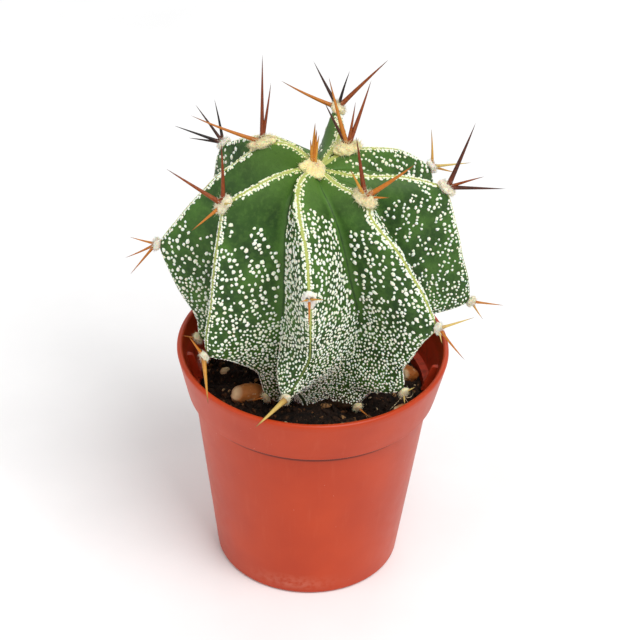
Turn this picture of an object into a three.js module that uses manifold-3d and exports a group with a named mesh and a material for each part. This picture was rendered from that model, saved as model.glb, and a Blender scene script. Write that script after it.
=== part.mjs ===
// Potted monk's hood cactus (Astrophytum ornatum): a young eight-ribbed globe with
// woolly areoles and stiff spines, in a 5.5 cm terracotta-coloured plastic pot.
// Millimetres, +Z up. The origin is the centre of the pot's underside.
// Azimuths are degrees from the front (-Y), growing towards +X.
import * as THREE from 'three';
import { mergeVertices } from 'three/addons/utils/BufferGeometryUtils.js';
import Module from 'manifold-3d';

const wasm = await Module();
wasm.setup();

// ---- Driving dimensions -------------------------------------------------------------

const GAP = 0.3; // clearance between pieces that touch
const WELD = 1e-4; // points nearer than this are one
const TINY = 1e-6; // widths below this count as nothing

// Pot
const POT_HEIGHT = 50.4;
const RIM_RADIUS = 27.5;
const POT_WALL = 1.1;
const LIP_ROUND = 0.6;
const COLLAR_FOOT = 40.1; // height where the collar steps in to the wall
const COLLAR_FOOT_RADIUS = 25.3;
const WALL_TOP_RADIUS = 24.0;
const BASE_RADIUS = 18.8;
const BASE_ROUND = 0.9;
const FLOOR_THICKNESS = 1.3;
const POT_SEGMENTS = 48;
const DRAIN_HOLES = 6;
const DRAIN_RADIUS = 2.0;
const DRAIN_CIRCLE = 12.5;
const DRAIN_SIDES = 10;
const FIN_AZIMUTHS = [-92, -2, 88, 178]; // ribs inside the collar keep stacked pots apart
const FIN_TOP = 46.4;
const FIN_FOOT = 40.5;
const FIN_DEPTH = 1.1; // how far a fin stands out from the collar
const FIN_WIDTH = 1.2;
const FIN_ROOT = 0.5; // how far it is sunk in the wall
const ROUND_STEPS = 4; // straight steps along each rounded edge of the pot

// Potting mix
const SOIL_EDGE_HEIGHT = 39.4;
const SOIL_CROWN_HEIGHT = 41.0;
const SOIL_CROWN_RADIUS = 13; // inside this the mix is level, outside it falls to the edge
const SOIL_LUMP = 0.45;
const SOIL_SEGMENTS = 32;
const SOIL_SEED = 7;

// Cactus body. Age counts areoles outwards from the growing tip: successive areoles
// stand 3/8 of a turn apart, so each rib bears one every eighth step.
const TIP_AGE = -2;
const ROOT_AGE = 30;
const TIP_HEIGHT = 92.6;
const ROOT_HEIGHT = 38.4;
const ROOT_RADIUS = 8.2;
const BODY_FLOOR = 37.7;
const RIM_CLEAR = 54; // above the pot's rim
const CREST_ROUND = 0.75; // half-width of the blunt crest
const THIN_CREST = 0.3; // where a rib is shallow its crest keeps this share of the depth
const FLANK_SWELL = 0.35; // how far the flanks bulge, as a share of half a rib's width
const CORNER_EASE = 0.5; // 0 = straight crest between corners, 1 = fully rounded

// Areoles and spines
// The wool's [age, half-length along the crest, half-width, half-height].
const PADS = [[0, 2.7, 2.6, 1.6], [1, 3.7, 2, 1.5], [5, 2.5, 1.7, 1.3], [8, 2, 1.45, 1.05],
  [11, 1.5, 1.2, 0.95], [30, 1.2, 1, 0.85]];
const PAD_SIDES = 7;
const PAD_ROWS = 5;
const PAD_RISE = 0.3; // how far the wool's middle lies above the crest line
const ROOT_DEPTH = 0.4; // how far above the crest line the spines' roots lie in the wool
const SPINE_SIDES = 4;
const SPINE_STEPS = 2;
const SPINE_THINNEST = 0.24; // root radius
const SPINE_THICKEST = 0.55;
const SPINE_FATTENING = 0.026; // root radius gained for each millimetre of length
const SPINE_CURVE = 0.05; // sideways bow as a share of the length

// Each rib's crest, tip to soil, as knots of [age, azimuth, reach, height].
const RIBS = [
  { name: 'back_left',
    crest: [[1.2, -136, 6.4, 94.2], [3, -132, 14, 94], [7, -132, 25.5, 86.5],
      [11, -134, 29.5, 74], [15, -137, 29, 60],
      [19, -137, 22.5, 52.5], [23, -136, 16, 47], [27, -136, 10.5, 42.2]] },
  { name: 'left',
    crest: [[0, -108, 3.2, 95.4], [1, -108, 6.8, 96.9], [2, -108, 11.5, 95.5], [6, -104, 21, 86.2],
      [8.5, -100, 28.5, 75.8], [10, -98, 31.8, 70.5],
      [14, -92, 26.9, 61.5], [16, -90, 23.6, 56.2], [18, -88, 22.9, 51.7], [22, -88, 15, 47],
      [26, -88, 10.5, 42.4]] },
  { name: 'front_left',
    crest: [[0.5, -58, 5.5, 93.9], [3, -53, 13.4, 94], [5, -55, 21.7, 91.5], [7.3, -55, 23.3, 81.9],
      [10, -55, 24.5, 70.6], [13, -55, 25.8, 57.5], [15, -53, 20.7, 54.8], [17.5, -50, 14, 49.5],
      [21, -46, 12.3, 43.2], [25, -46, 10, 41]] },
  { name: 'front',
    crest: [[0, -35, 1.5, 93.3], [2, -27, 7.6, 93.8], [4, -13.3, 14.7, 91], [6, -5, 20.3, 86.8],
      [8, -2, 25.6, 79.5], [11.5, -1.3, 22.2, 67.6], [14, -2, 18.8, 60], [15.2, -9, 19.1, 54.2],
      [16, -14, 20.6, 51.5], [19, -13, 13.5, 48.2], [24, -8, 9.8, 43]] },
  { name: 'front_right',
    crest: [[1, 30, 6.5, 92.9], [3, 42.4, 13.4, 92.4], [5, 41.5, 16.1, 88.6], [6.6, 45.9, 20.9, 84.6],
      [8.9, 50, 26.4, 76.6], [11, 51, 30.8, 69.3], [12.5, 50.5, 28.2, 65], [15, 50, 25.1, 58.8],
      [17, 50, 22.9, 55.3], [19, 50, 23.5, 50.5], [22, 46, 17, 47.8], [26, 39, 14.6, 43.8]] },
  { name: 'right',
    crest: [[1.2, 80, 6.4, 91.8], [3.5, 88.5, 15.9, 91.5], [6, 88, 24.9, 89.3], [9.6, 88, 28.3, 77.2],
      [14, 88, 31, 63], [15.5, 88, 26.6, 61], [17, 88, 23, 59.8], [22, 87, 14.5, 49],
      [26, 86, 10.5, 42.6]] },
  { name: 'back_right',
    crest: [[1, 128, 7, 94.3], [5, 127, 20, 89.9], [9, 124, 27, 83.8], [13, 126, 29.5, 69],
      [17, 130, 27, 56], [20, 130, 19, 51], [25, 130, 10.8, 43]] },
  { name: 'back',
    crest: [[1, 154, 7.6, 93.8], [4, 170, 19, 94.5], [8, 171, 27, 84], [12, 172, 31, 67],
      [16, 173, 26, 57.5], [20, 174, 23, 50.5], [23.5, 175, 15, 47], [27, 175, 10.5, 42.2]] },
];

// The furrows between ribs share one run of [age, reach, height].
const FURROW = [[-2, 0, 92.6], [0, 2.2, 92], [2, 5.2, 91.6], [4, 8.8, 90.3], [6, 11.2, 87],
  [8, 12.4, 82], [10, 12.8, 76], [12, 13, 70], [14, 13, 64], [16, 12.8, 58.5], [18, 12.5, 54],
  [20, 11.4, 50], [22, 10, 46.8], [24, 8.8, 44], [27, 7.6, 41], [30, 6.6, 38.4]];

// Three furrows wander as [age, azimuth]; the others keep midway between their ribs.
const FURROW_PATHS = {
  back: [[0, 178], [3, 178], [5, 181], [8, 192], [11, 199], [30, 200]],
  front_left: [[0, -46], [2, -41], [4, -34], [6, -30], [12, -27], [18, -32], [30, -30]],
  front: [[0, 0], [2, 6], [4, 14], [6, 20], [11, 33], [14, 43], [17.5, 39], [20, 30], [24, 22], [30, 20]],
};

// Spines as [azimuth, elevation, length], areole by areole. An areole with no list gets
// the usual three.
const AREOLES = [
  { rib: 'front', age: 0, spines: [[178, 66, 9.2], [160, 66, 7], [-163, 66, 6], [170, 70, 8]] },
  { rib: 'back_right', age: 1,
    spines: [[-130, 51, 10.2], [-149, 56, 14.3], [164, 59, 9.1], [149, 54, 14]] },
  { rib: 'left', age: 2, spines: [[-177, 61, 17], [167, 58, 11.7], [-98, 17, 14.9]] },
  { rib: 'front_right', age: 3,
    spines: [[-160, 60, 11.8], [-110, 60, 6.5], [108, 31, 11.9], [80, 8, 4.9]] },
  { rib: 'back', age: 4,
    spines: [[-101, 21, 12.6], [-131, 49, 10.5], [149, 58, 7.7], [117, 38, 13.9]] },
  { rib: 'front_left', age: 5,
    spines: [[-173, 62, 12.1], [-105, 27, 12.8], [-50, -22, 8.3], [28, 33, 4.6]] },
  { rib: 'right', age: 6, spines: [[143, 52, 13.7], [94, 19, 7.5], [86, 3, 11.4]] },
  { rib: 'back_left', age: 7,
    spines: [[-155, 58, 8.9], [-122, 44, 9.5], [-96, 17, 10.5], [-94, 5, 7.1]] },
  { rib: 'front', age: 8, spines: [[50, 25, 4.2], [0, -33, 5.7], [-47, 15, 2.6]] },
  { rib: 'back_right', age: 9, spines: [[-173, 61, 7.6], [94, 6, 8], [125, -30, 7]] },
  { rib: 'left', age: 10, spines: [[-98, 10, 5.6], [-74, -21, 6.8], [-52, -38, 8.1]] },
  { rib: 'front_right', age: 11, spines: [[98, 18, 7.3], [56, -38, 8], [16, -40, 3.2]] },
  { rib: 'back', age: 12 },
  { rib: 'front_left', age: 13, spines: [[-100, 56, 5.6], [10, -40, 9.7]] },
  { rib: 'right', age: 14, spines: [[87, -4, 6.6], [50, -42, 4.3]] },
  { rib: 'back_left', age: 15 },
  { rib: 'front', age: 16, spines: [[-32, -1, 10.7]] },
  { rib: 'back_right', age: 17 },
  { rib: 'left', age: 18, spines: [[-94, 8, 3.4]] },
  { rib: 'front_right', age: 19, spines: [[10, -40, 2.6], [88, 35, 2.8]] },
  { rib: 'back', age: 20 },
  { rib: 'front_left', age: 21, spines: [[-77, -5, 3.4]] },
  { rib: 'front_right', age: 26, spines: [[54, -20, 3.2]] },
];
const USUAL_SPINES = [[-38, 22], [36, 12], [2, -30]]; // [azimuth from the rib's, elevation]
const USUAL_LENGTH = 8;
const LOW_LENGTH = 3.4; // the usual length on areoles low on the plant
const LOW_AGE = 16;
const SOCKET_AGE = 18; // where the mix's socket for the plant begins
const SPINE_SEED = 101;

// Stones lying in the mix: [x, y, half-length, half-width, half-height, turn, colour]
const STONES = [
  [-13.0, -5.8, 3.3, 2.3, 1.9, 12, 0xb98a58],
  [-12.2, -13.4, 1.9, 1.2, 0.9, -20, 0x8a7a66],
  [6.6, -15.4, 1.7, 1.1, 0.9, 5, 0xd8c7a0],
  [19.6, 4.0, 2.1, 2.0, 1.8, 40, 0xa8702f],
  [18.2, -8.6, 1.6, 1.5, 1.3, 15, 0xb48a5a],
  [-17.8, 2.4, 1.2, 0.9, 0.8, 60, 0xcdbf9d],
  [-10.5, 15.8, 2.2, 1.6, 1.3, 35, 0x9c7b54],
  [12.6, 15.4, 1.8, 1.3, 1.1, -25, 0xc9a878],
  [0.6, 19.6, 1.4, 1.2, 1.0, 10, 0x8f8071],
];
const STONE_RISE = 0.35; // a stone's middle lies this share of its half-height above the mix
const STONE_ROUGHNESS = 0.1;
const STONE_SEED = 400;

const COLOURS = {
  pot: 0xc4532f,
  soil: 0x2a1f18,
  skin: 0x35692f,
  wool: 0xe9dcb4,
};
const ROUGHNESS = { pot: 0.42, soil: 0.95, stone: 0.8, skin: 0.6, wool: 0.85 };

// ---- Small helpers ------------------------------------------------------------------

const rad = THREE.MathUtils.degToRad;
const lerp = THREE.MathUtils.lerp;
const clamp = THREE.MathUtils.clamp;

function seededRandom(seed) {
  let state = seed;
  return () => {
    state = (state + 0x6d2b79f5) | 0;
    let mixed = Math.imul(state ^ (state >>> 15), 1 | state);
    mixed = (mixed + Math.imul(mixed ^ (mixed >>> 7), 61 | mixed)) ^ mixed;
    return ((mixed ^ (mixed >>> 14)) >>> 0) / 4294967296;
  };
}

// A point at an azimuth, a distance from the axis and a height.
function polar(azimuth, reach, height) {
  return new THREE.Vector3(reach * Math.sin(rad(azimuth)), -reach * Math.cos(rad(azimuth)), height);
}

// Reads column `column` of a list of knots at age `age`: straight between knots, eased
// towards a smooth curve by `ease`.
function readKnots(knots, age, column, ease) {
  const last = knots.length - 1;
  let i = 0;
  while (i < last - 1 && knots[i + 1][0] < age) i += 1;
  const [a, b] = [knots[i], knots[i + 1]];
  const span = b[0] - a[0];
  const t = clamp((age - a[0]) / span, 0, 1);
  const slope = (k) => {
    const before = knots[Math.max(k - 1, 0)];
    const after = knots[Math.min(k + 1, last)];
    return (after[column] - before[column]) / (after[0] - before[0]);
  };
  const straight = lerp(a[column], b[column], t);
  const [t2, t3] = [t * t, t * t * t];
  const curved = (2 * t3 - 3 * t2 + 1) * a[column] + (t3 - 2 * t2 + t) * span * slope(i)
    + (3 * t2 - 2 * t3) * b[column] + (t3 - t2) * span * slope(i + 1);
  return lerp(straight, curved, ease);
}

function toSolid(geometry) {
  geometry.deleteAttribute('normal');
  geometry.deleteAttribute('uv');
  const merged = mergeVertices(geometry, WELD);
  return new wasm.Manifold(new wasm.Mesh({
    numProp: 3,
    vertProperties: new Float32Array(merged.attributes.position.array),
    triVerts: new Uint32Array(merged.index.array),
  }));
}

function toGeometry(solid) {
  const mesh = solid.getMesh();
  const geometry = new THREE.BufferGeometry();
  geometry.setAttribute('position', new THREE.BufferAttribute(mesh.vertProperties, 3));
  geometry.setIndex(new THREE.BufferAttribute(mesh.triVerts, 1));
  geometry.computeVertexNormals();
  return geometry;
}

function addPiece(group, name, solid, colour, roughness) {
  const material = new THREE.MeshStandardMaterial({ color: colour, roughness, metalness: 0 });
  const mesh = new THREE.Mesh(toGeometry(solid), material);
  mesh.name = name;
  group.add(mesh);
}

// ---- Cactus body --------------------------------------------------------------------

const tipKnot = (azimuth) => [TIP_AGE, azimuth, 0, TIP_HEIGHT];
const rootKnot = (azimuth) => [ROOT_AGE, azimuth, ROOT_RADIUS, ROOT_HEIGHT];

for (const rib of RIBS) {
  const [first, last] = [rib.crest[0], rib.crest[rib.crest.length - 1]];
  rib.knots = [tipKnot(first[1]), ...rib.crest, rootKnot(last[1])];
}

function crestPoint(rib, age, grow = 0) {
  const azimuth = readKnots(rib.knots, age, 1, CORNER_EASE);
  const reach = readKnots(rib.knots, age, 2, CORNER_EASE);
  return polar(azimuth, reach + grow, readKnots(rib.knots, age, 3, CORNER_EASE));
}

// The furrow after a rib, towards growing azimuth.
function furrowPoint(index, age, grow = 0) {
  const rib = RIBS[index];
  const next = RIBS[(index + 1) % RIBS.length];
  const path = FURROW_PATHS[rib.name];
  let azimuth;
  if (path) {
    azimuth = readKnots(path, age, 1, CORNER_EASE);
  } else {
    const here = readKnots(rib.knots, age, 1, CORNER_EASE);
    const there = readKnots(next.knots, age, 1, CORNER_EASE) + (index + 1 === RIBS.length ? 360 : 0);
    azimuth = (here + there) / 2;
  }
  return polar(azimuth, readKnots(FURROW, age, 1, 1) + grow, readKnots(FURROW, age, 2, 1));
}

// Places along a rib's section: negative towards the furrow before it, positive towards
// the one after; 0 is the crest and 1 the furrow.
const SECTION = [-1, -0.62, -0.28, -0.05, 0, 0.05, 0.28, 0.62];

function bodyPoint(index, place, age, grow = 0) {
  const crest = crestPoint(RIBS[index], age, grow);
  const before = furrowPoint((index + RIBS.length - 1) % RIBS.length, age, grow);
  const after = furrowPoint(index, age, grow);
  if (place === 0) return crest;
  if (place === -1) return before;
  const middle = before.clone().add(after).multiplyScalar(0.5);
  const across = after.clone().sub(before);
  const halfWidth = across.length() / 2;
  if (halfWidth < TINY) return crest;
  across.normalize();
  const depth = crest.distanceTo(middle);
  const q = Math.abs(place);
  const blunt = Math.min(CREST_ROUND, depth * THIN_CREST) + grow;
  const nose = Math.min(1, (q * depth) / Math.max(blunt, TINY));
  const swell = q + FLANK_SWELL * q * (1 - q);
  const thickness = halfWidth * swell + blunt * (1 - q) * Math.sqrt(nose * (2 - nose));
  return crest.lerp(middle, q).addScaledVector(across, Math.sign(place) * thickness);
}

// A closed skin between two ages, with a point at each end.
function bodySolid(fromAge, toAge, topHeight, floorHeight, grow = 0) {
  const around = RIBS.length * SECTION.length;
  const rows = toAge - fromAge + 2;
  const geometry = new THREE.SphereGeometry(1, around, rows);
  const position = geometry.attributes.position;
  for (let row = 0; row <= rows; row += 1) {
    for (let column = 0; column <= around; column += 1) {
      const slot = column % around;
      const index = Math.floor(slot / SECTION.length);
      const age = fromAge + row - 1;
      let point;
      if (row === 0) point = new THREE.Vector3(0, 0, topHeight);
      else if (row === rows) point = new THREE.Vector3(0, 0, floorHeight);
      else point = bodyPoint(index, SECTION[slot % SECTION.length], age, grow);
      position.setXYZ(row * (around + 1) + column, point.x, point.y, point.z);
    }
  }
  return toSolid(geometry);
}

// ---- Areoles ------------------------------------------------------------------------

// Centre, outward direction and downward crest direction at a rib's areole.
function areoleSeat(rib, age) {
  const centre = crestPoint(rib, age);
  const ahead = crestPoint(rib, age + 1);
  const behind = crestPoint(rib, age - 1);
  const along = ahead.sub(behind).normalize();
  const outward = new THREE.Vector3(centre.x, centre.y, 0).normalize();
  const side = new THREE.Vector3().crossVectors(along, outward).normalize();
  const out = new THREE.Vector3().crossVectors(side, along).normalize();
  return { centre, along, side, out };
}

function padSolid(seat, age, grow = 0) {
  const [halfLength, halfWidth, halfHeight] = [1, 2, 3].map((column) => readKnots(PADS, age, column, 0));
  const geometry = new THREE.SphereGeometry(1, PAD_SIDES, PAD_ROWS);
  geometry.scale(halfWidth + grow, halfLength + grow, halfHeight + grow);
  const frame = new THREE.Matrix4().makeBasis(seat.along.clone().cross(seat.out), seat.along, seat.out);
  frame.setPosition(seat.centre.clone().addScaledVector(seat.out, PAD_RISE));
  geometry.applyMatrix4(frame);
  return toSolid(geometry);
}

function spineSolid(root, azimuth, elevation, length, bow) {
  const thickness = clamp(SPINE_THINNEST + SPINE_FATTENING * (length - 2), SPINE_THINNEST, SPINE_THICKEST);
  const geometry = new THREE.ConeGeometry(thickness, length, SPINE_SIDES, SPINE_STEPS);
  geometry.translate(0, length / 2, 0);
  const position = geometry.attributes.position;
  for (let i = 0; i < position.count; i += 1) {
    const t = position.getY(i) / length;
    position.setX(i, position.getX(i) + bow * SPINE_CURVE * length * 4 * t * (1 - t));
  }
  const direction = polar(azimuth, Math.cos(rad(elevation)), Math.sin(rad(elevation)));
  const turn = new THREE.Quaternion().setFromUnitVectors(new THREE.Vector3(0, 1, 0), direction);
  geometry.applyQuaternion(turn);
  geometry.translate(root.x, root.y, root.z);
  return toSolid(geometry);
}

function areoleSolid(areole, seat, rib) {
  const random = seededRandom(SPINE_SEED + areole.age);
  const root = seat.centre.clone().addScaledVector(seat.out, ROOT_DEPTH);
  const azimuth = readKnots(rib.knots, areole.age, 1, CORNER_EASE);
  const usualLength = areole.age < LOW_AGE ? USUAL_LENGTH : LOW_LENGTH;
  const usual = USUAL_SPINES.map(([turn, rise]) => [azimuth + turn, rise, usualLength]);
  let solid = padSolid(seat, areole.age);
  for (const [spineAzimuth, elevation, length] of areole.spines ?? usual) {
    solid = solid.add(spineSolid(root, spineAzimuth, elevation, length, random() - 0.5));
  }
  return solid;
}

// ---- Pot ----------------------------------------------------------------------------

function finSolid(azimuth) {
  const lipHeight = POT_HEIGHT - LIP_ROUND;
  const ledgeHeight = COLLAR_FOOT + POT_WALL;
  const slope = (RIM_RADIUS - 2 * LIP_ROUND - COLLAR_FOOT_RADIUS + POT_WALL) / (lipHeight - ledgeHeight);
  const middle = (FIN_TOP + FIN_FOOT) / 2;
  const collarFace = COLLAR_FOOT_RADIUS - POT_WALL + slope * (middle - ledgeHeight);
  const tilt = Math.atan(slope);
  const fin = new THREE.BoxGeometry(FIN_WIDTH, FIN_DEPTH + FIN_ROOT, (FIN_TOP - FIN_FOOT) / Math.cos(tilt));
  fin.rotateX(tilt);
  fin.translate(0, -(collarFace + (FIN_ROOT - FIN_DEPTH) / 2), middle);
  fin.rotateZ(rad(azimuth));
  return toSolid(fin);
}

function potSolid() {
  const profile = new THREE.Path();
  const lipHeight = POT_HEIGHT - LIP_ROUND;
  profile.moveTo(0, 0);
  profile.lineTo(BASE_RADIUS - BASE_ROUND, 0);
  profile.absarc(BASE_RADIUS - BASE_ROUND, BASE_ROUND, BASE_ROUND, -Math.PI / 2, 0, false);
  profile.lineTo(WALL_TOP_RADIUS, COLLAR_FOOT);
  profile.lineTo(COLLAR_FOOT_RADIUS, COLLAR_FOOT + LIP_ROUND / 2);
  profile.absarc(RIM_RADIUS - LIP_ROUND, lipHeight, LIP_ROUND, 0, Math.PI, false);
  profile.lineTo(COLLAR_FOOT_RADIUS - POT_WALL, COLLAR_FOOT + POT_WALL);
  profile.lineTo(WALL_TOP_RADIUS - POT_WALL, COLLAR_FOOT + POT_WALL / 2);
  profile.lineTo(BASE_RADIUS - POT_WALL, FLOOR_THICKNESS);
  profile.lineTo(0, FLOOR_THICKNESS);
  const geometry = new THREE.LatheGeometry(profile.getPoints(ROUND_STEPS), POT_SEGMENTS);
  geometry.rotateX(Math.PI / 2);
  let pot = toSolid(geometry);
  for (const azimuth of FIN_AZIMUTHS) pot = pot.add(finSolid(azimuth));
  for (let i = 0; i < DRAIN_HOLES; i += 1) {
    const hole = new THREE.CylinderGeometry(DRAIN_RADIUS, DRAIN_RADIUS, 3 * FLOOR_THICKNESS, DRAIN_SIDES);
    hole.rotateX(Math.PI / 2);
    const centre = polar((i * 360) / DRAIN_HOLES, DRAIN_CIRCLE, FLOOR_THICKNESS / 2);
    hole.translate(centre.x, centre.y, centre.z);
    pot = pot.subtract(toSolid(hole));
  }
  return pot;
}

// ---- Potting mix and stones ---------------------------------------------------------

const wallSlope = (WALL_TOP_RADIUS - BASE_RADIUS) / COLLAR_FOOT;
const soilEdgeRadius = WALL_TOP_RADIUS - POT_WALL - GAP - wallSlope * (COLLAR_FOOT - SOIL_EDGE_HEIGHT);

function soilHeight(reach) {
  const outwards = (reach - SOIL_CROWN_RADIUS) / (soilEdgeRadius - SOIL_CROWN_RADIUS);
  return lerp(SOIL_CROWN_HEIGHT, SOIL_EDGE_HEIGHT, clamp(outwards, 0, 1) ** 2);
}

function soilSolid() {
  const rings = [soilEdgeRadius, 19.5, 16.5, SOIL_CROWN_RADIUS, 8, 0];
  const profile = [
    new THREE.Vector2(0, FLOOR_THICKNESS + GAP),
    new THREE.Vector2(BASE_RADIUS - POT_WALL - GAP, FLOOR_THICKNESS + GAP),
    ...rings.map((reach) => new THREE.Vector2(reach, soilHeight(reach))),
  ];
  const geometry = new THREE.LatheGeometry(profile, SOIL_SEGMENTS);
  geometry.rotateX(Math.PI / 2);
  geometry.deleteAttribute('normal');
  geometry.deleteAttribute('uv');
  const merged = mergeVertices(geometry, WELD);
  const random = seededRandom(SOIL_SEED);
  const position = merged.attributes.position;
  for (let i = 0; i < position.count; i += 1) {
    const lump = (random() - 0.5) * 2 * SOIL_LUMP;
    if (position.getZ(i) > SOIL_EDGE_HEIGHT + 0.1) position.setZ(i, position.getZ(i) + lump);
  }
  return toSolid(merged);
}

function stoneSolid(stone, grow = 0) {
  const [x, y, length, width, height, turn] = stone;
  const random = seededRandom(Math.round(x * 10) + STONE_SEED);
  const geometry = new THREE.IcosahedronGeometry(1, 1);
  geometry.deleteAttribute('normal');
  geometry.deleteAttribute('uv');
  const merged = mergeVertices(geometry, WELD);
  const position = merged.attributes.position;
  for (let i = 0; i < position.count; i += 1) {
    const swell = 1 + (random() - 0.5) * 2 * STONE_ROUGHNESS;
    position.setXYZ(i, position.getX(i) * (length * swell + grow),
      position.getY(i) * (width * swell + grow), position.getZ(i) * (height * swell + grow));
  }
  merged.rotateZ(rad(turn));
  merged.translate(x, y, soilHeight(Math.hypot(x, y)) + height * STONE_RISE);
  return toSolid(merged);
}

// ---- Assembly -----------------------------------------------------------------------

function buildCactus() {
  const group = new THREE.Group();
  group.name = 'potted_monks_hood_cactus';

  addPiece(group, 'pot', potSolid(), COLOURS.pot, ROUGHNESS.pot);

  let soil = soilSolid().subtract(bodySolid(SOCKET_AGE, ROOT_AGE, RIM_CLEAR, BODY_FLOOR - GAP, GAP));
  for (const stone of STONES) soil = soil.subtract(stoneSolid(stone, GAP));
  addPiece(group, 'potting_mix', soil, COLOURS.soil, ROUGHNESS.soil);
  STONES.forEach((stone, i) => {
    addPiece(group, `stone_${i + 1}`, stoneSolid(stone), stone[6], ROUGHNESS.stone);
  });

  let body = bodySolid(TIP_AGE + 1, ROOT_AGE, TIP_HEIGHT, BODY_FLOOR);
  const counts = {};
  for (const areole of AREOLES) {
    const rib = RIBS.find((candidate) => candidate.name === areole.rib);
    const seat = areoleSeat(rib, areole.age);
    body = body.subtract(padSolid(seat, areole.age, GAP));
    counts[rib.name] = (counts[rib.name] ?? 0) + 1;
    const name = `areole_${rib.name}_${counts[rib.name]}`;
    addPiece(group, name, areoleSolid(areole, seat, rib), COLOURS.wool, ROUGHNESS.wool);
  }
  addPiece(group, 'cactus_body', body, COLOURS.skin, ROUGHNESS.skin);
  return group;
}

export default buildCactus();
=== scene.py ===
"""A potted monk's hood cactus: the looks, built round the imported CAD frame.

Sizes are millimetres unless a comment says otherwise; meshes are made in metres. Azimuths are
degrees from the front (-Y), growing towards +X. Age counts areoles outwards from the growing
tip, as in the CAD source.
"""
import math

import bmesh
import bpy
import numpy as np
from mathutils import Matrix, Vector
from mathutils.kdtree import KDTree


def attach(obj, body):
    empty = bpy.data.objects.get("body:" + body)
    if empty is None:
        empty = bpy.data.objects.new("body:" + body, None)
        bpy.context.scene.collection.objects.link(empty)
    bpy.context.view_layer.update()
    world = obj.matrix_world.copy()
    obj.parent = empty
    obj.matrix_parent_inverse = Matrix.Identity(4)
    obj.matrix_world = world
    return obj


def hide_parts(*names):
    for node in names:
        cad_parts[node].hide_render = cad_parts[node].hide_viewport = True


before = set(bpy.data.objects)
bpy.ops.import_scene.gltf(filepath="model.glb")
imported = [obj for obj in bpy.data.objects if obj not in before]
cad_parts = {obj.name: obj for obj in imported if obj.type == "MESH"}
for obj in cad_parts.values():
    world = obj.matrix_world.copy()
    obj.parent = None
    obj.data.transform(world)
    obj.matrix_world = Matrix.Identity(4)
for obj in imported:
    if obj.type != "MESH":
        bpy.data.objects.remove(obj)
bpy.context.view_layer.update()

MM = 0.001
ROOT = "root"

# ---- Sizes shared with the CAD source ------------------------------------------------

POT_HEIGHT = 50.4
RIM_RADIUS = 27.5
POT_WALL = 1.1
LIP_ROUND = 0.6
COLLAR_FOOT = 40.1
COLLAR_FOOT_RADIUS = 25.3
WALL_TOP_RADIUS = 24.0
BASE_RADIUS = 18.8
BASE_ROUND = 0.9
FLOOR_THICKNESS = 1.3
DRAIN_HOLES = 6
DRAIN_RADIUS = 2.0
DRAIN_CIRCLE = 12.5

SOIL_EDGE_HEIGHT = 39.4
SOIL_CROWN_HEIGHT = 41.0
SOIL_CROWN_RADIUS = 13.0
GAP = 0.3

TIP_AGE, ROOT_AGE = -2, 30
TIP_HEIGHT, ROOT_HEIGHT = 92.6, 38.4
ROOT_RADIUS = 8.2
BODY_FLOOR = 37.7
CREST_ROUND = 0.75
THIN_CREST = 0.3
FLANK_SWELL = 0.35
CORNER_EASE = 0.5

# Each rib's crest, tip to soil, as [age, azimuth, reach, height].
RIBS = {
    "back_left": [
        [1.2, -136, 6.4, 94.2], [3, -132, 14, 94], [7, -132, 25.5, 86.5], [11, -134, 29.5, 74],
        [15, -137, 29, 60], [19, -137, 22.5, 52.5], [23, -136, 16, 47], [27, -136, 10.5, 42.2]],
    "left": [
        [0, -108, 3.2, 95.4], [1, -108, 6.8, 96.9], [2, -108, 11.5, 95.5], [6, -104, 21, 86.2],
        [8.5, -100, 28.5, 75.8], [10, -98, 31.8, 70.5], [14, -92, 26.9, 61.5], [16, -90, 23.6, 56.2],
        [18, -88, 22.9, 51.7], [22, -88, 15, 47], [26, -88, 10.5, 42.4]],
    "front_left": [
        [0.5, -58, 5.5, 93.9], [3, -53, 13.4, 94], [5, -55, 21.7, 91.5], [7.3, -55, 23.3, 81.9],
        [10, -55, 24.5, 70.6], [13, -55, 25.8, 57.5], [15, -53, 20.7, 54.8], [17.5, -50, 14, 49.5],
        [21, -46, 12.3, 43.2], [25, -46, 10, 41]],
    "front": [
        [0, -35, 1.5, 93.3], [2, -27, 7.6, 93.8], [4, -13.3, 14.7, 91], [6, -5, 20.3, 86.8],
        [8, -2, 25.6, 79.5], [11.5, -1.3, 22.2, 67.6], [14, -2, 18.8, 60], [15.2, -9, 19.1, 54.2],
        [16, -14, 20.6, 51.5], [19, -13, 13.5, 48.2], [24, -8, 9.8, 43]],
    "front_right": [
        [1, 30, 6.5, 92.9], [3, 42.4, 13.4, 92.4], [5, 41.5, 16.1, 88.6], [6.6, 45.9, 20.9, 84.6],
        [8.9, 50, 26.4, 76.6], [11, 51, 30.8, 69.3], [12.5, 50.5, 28.2, 65], [15, 50, 25.1, 58.8],
        [17, 50, 22.9, 55.3], [19, 50, 23.5, 50.5], [22, 46, 17, 47.8], [26, 39, 14.6, 43.8]],
    "right": [
        [1.2, 80, 6.4, 91.8], [3.5, 88.5, 15.9, 91.5], [6, 88, 24.9, 89.3], [9.6, 88, 28.3, 77.2],
        [14, 88, 31, 63], [15.5, 88, 26.6, 61], [17, 88, 23, 59.8], [22, 87, 14.5, 49],
        [26, 86, 10.5, 42.6]],
    "back_right": [
        [1, 128, 7, 94.3], [5, 127, 20, 89.9], [9, 124, 27, 83.8], [13, 126, 29.5, 69],
        [17, 130, 27, 56], [20, 130, 19, 51], [25, 130, 10.8, 43]],
    "back": [
        [1, 154, 7.6, 93.8], [4, 170, 19, 94.5], [8, 171, 27, 84], [12, 172, 31, 67],
        [16, 173, 26, 57.5], [20, 174, 23, 50.5], [23.5, 175, 15, 47], [27, 175, 10.5, 42.2]],
}
RIB_NAMES = list(RIBS)

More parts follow.
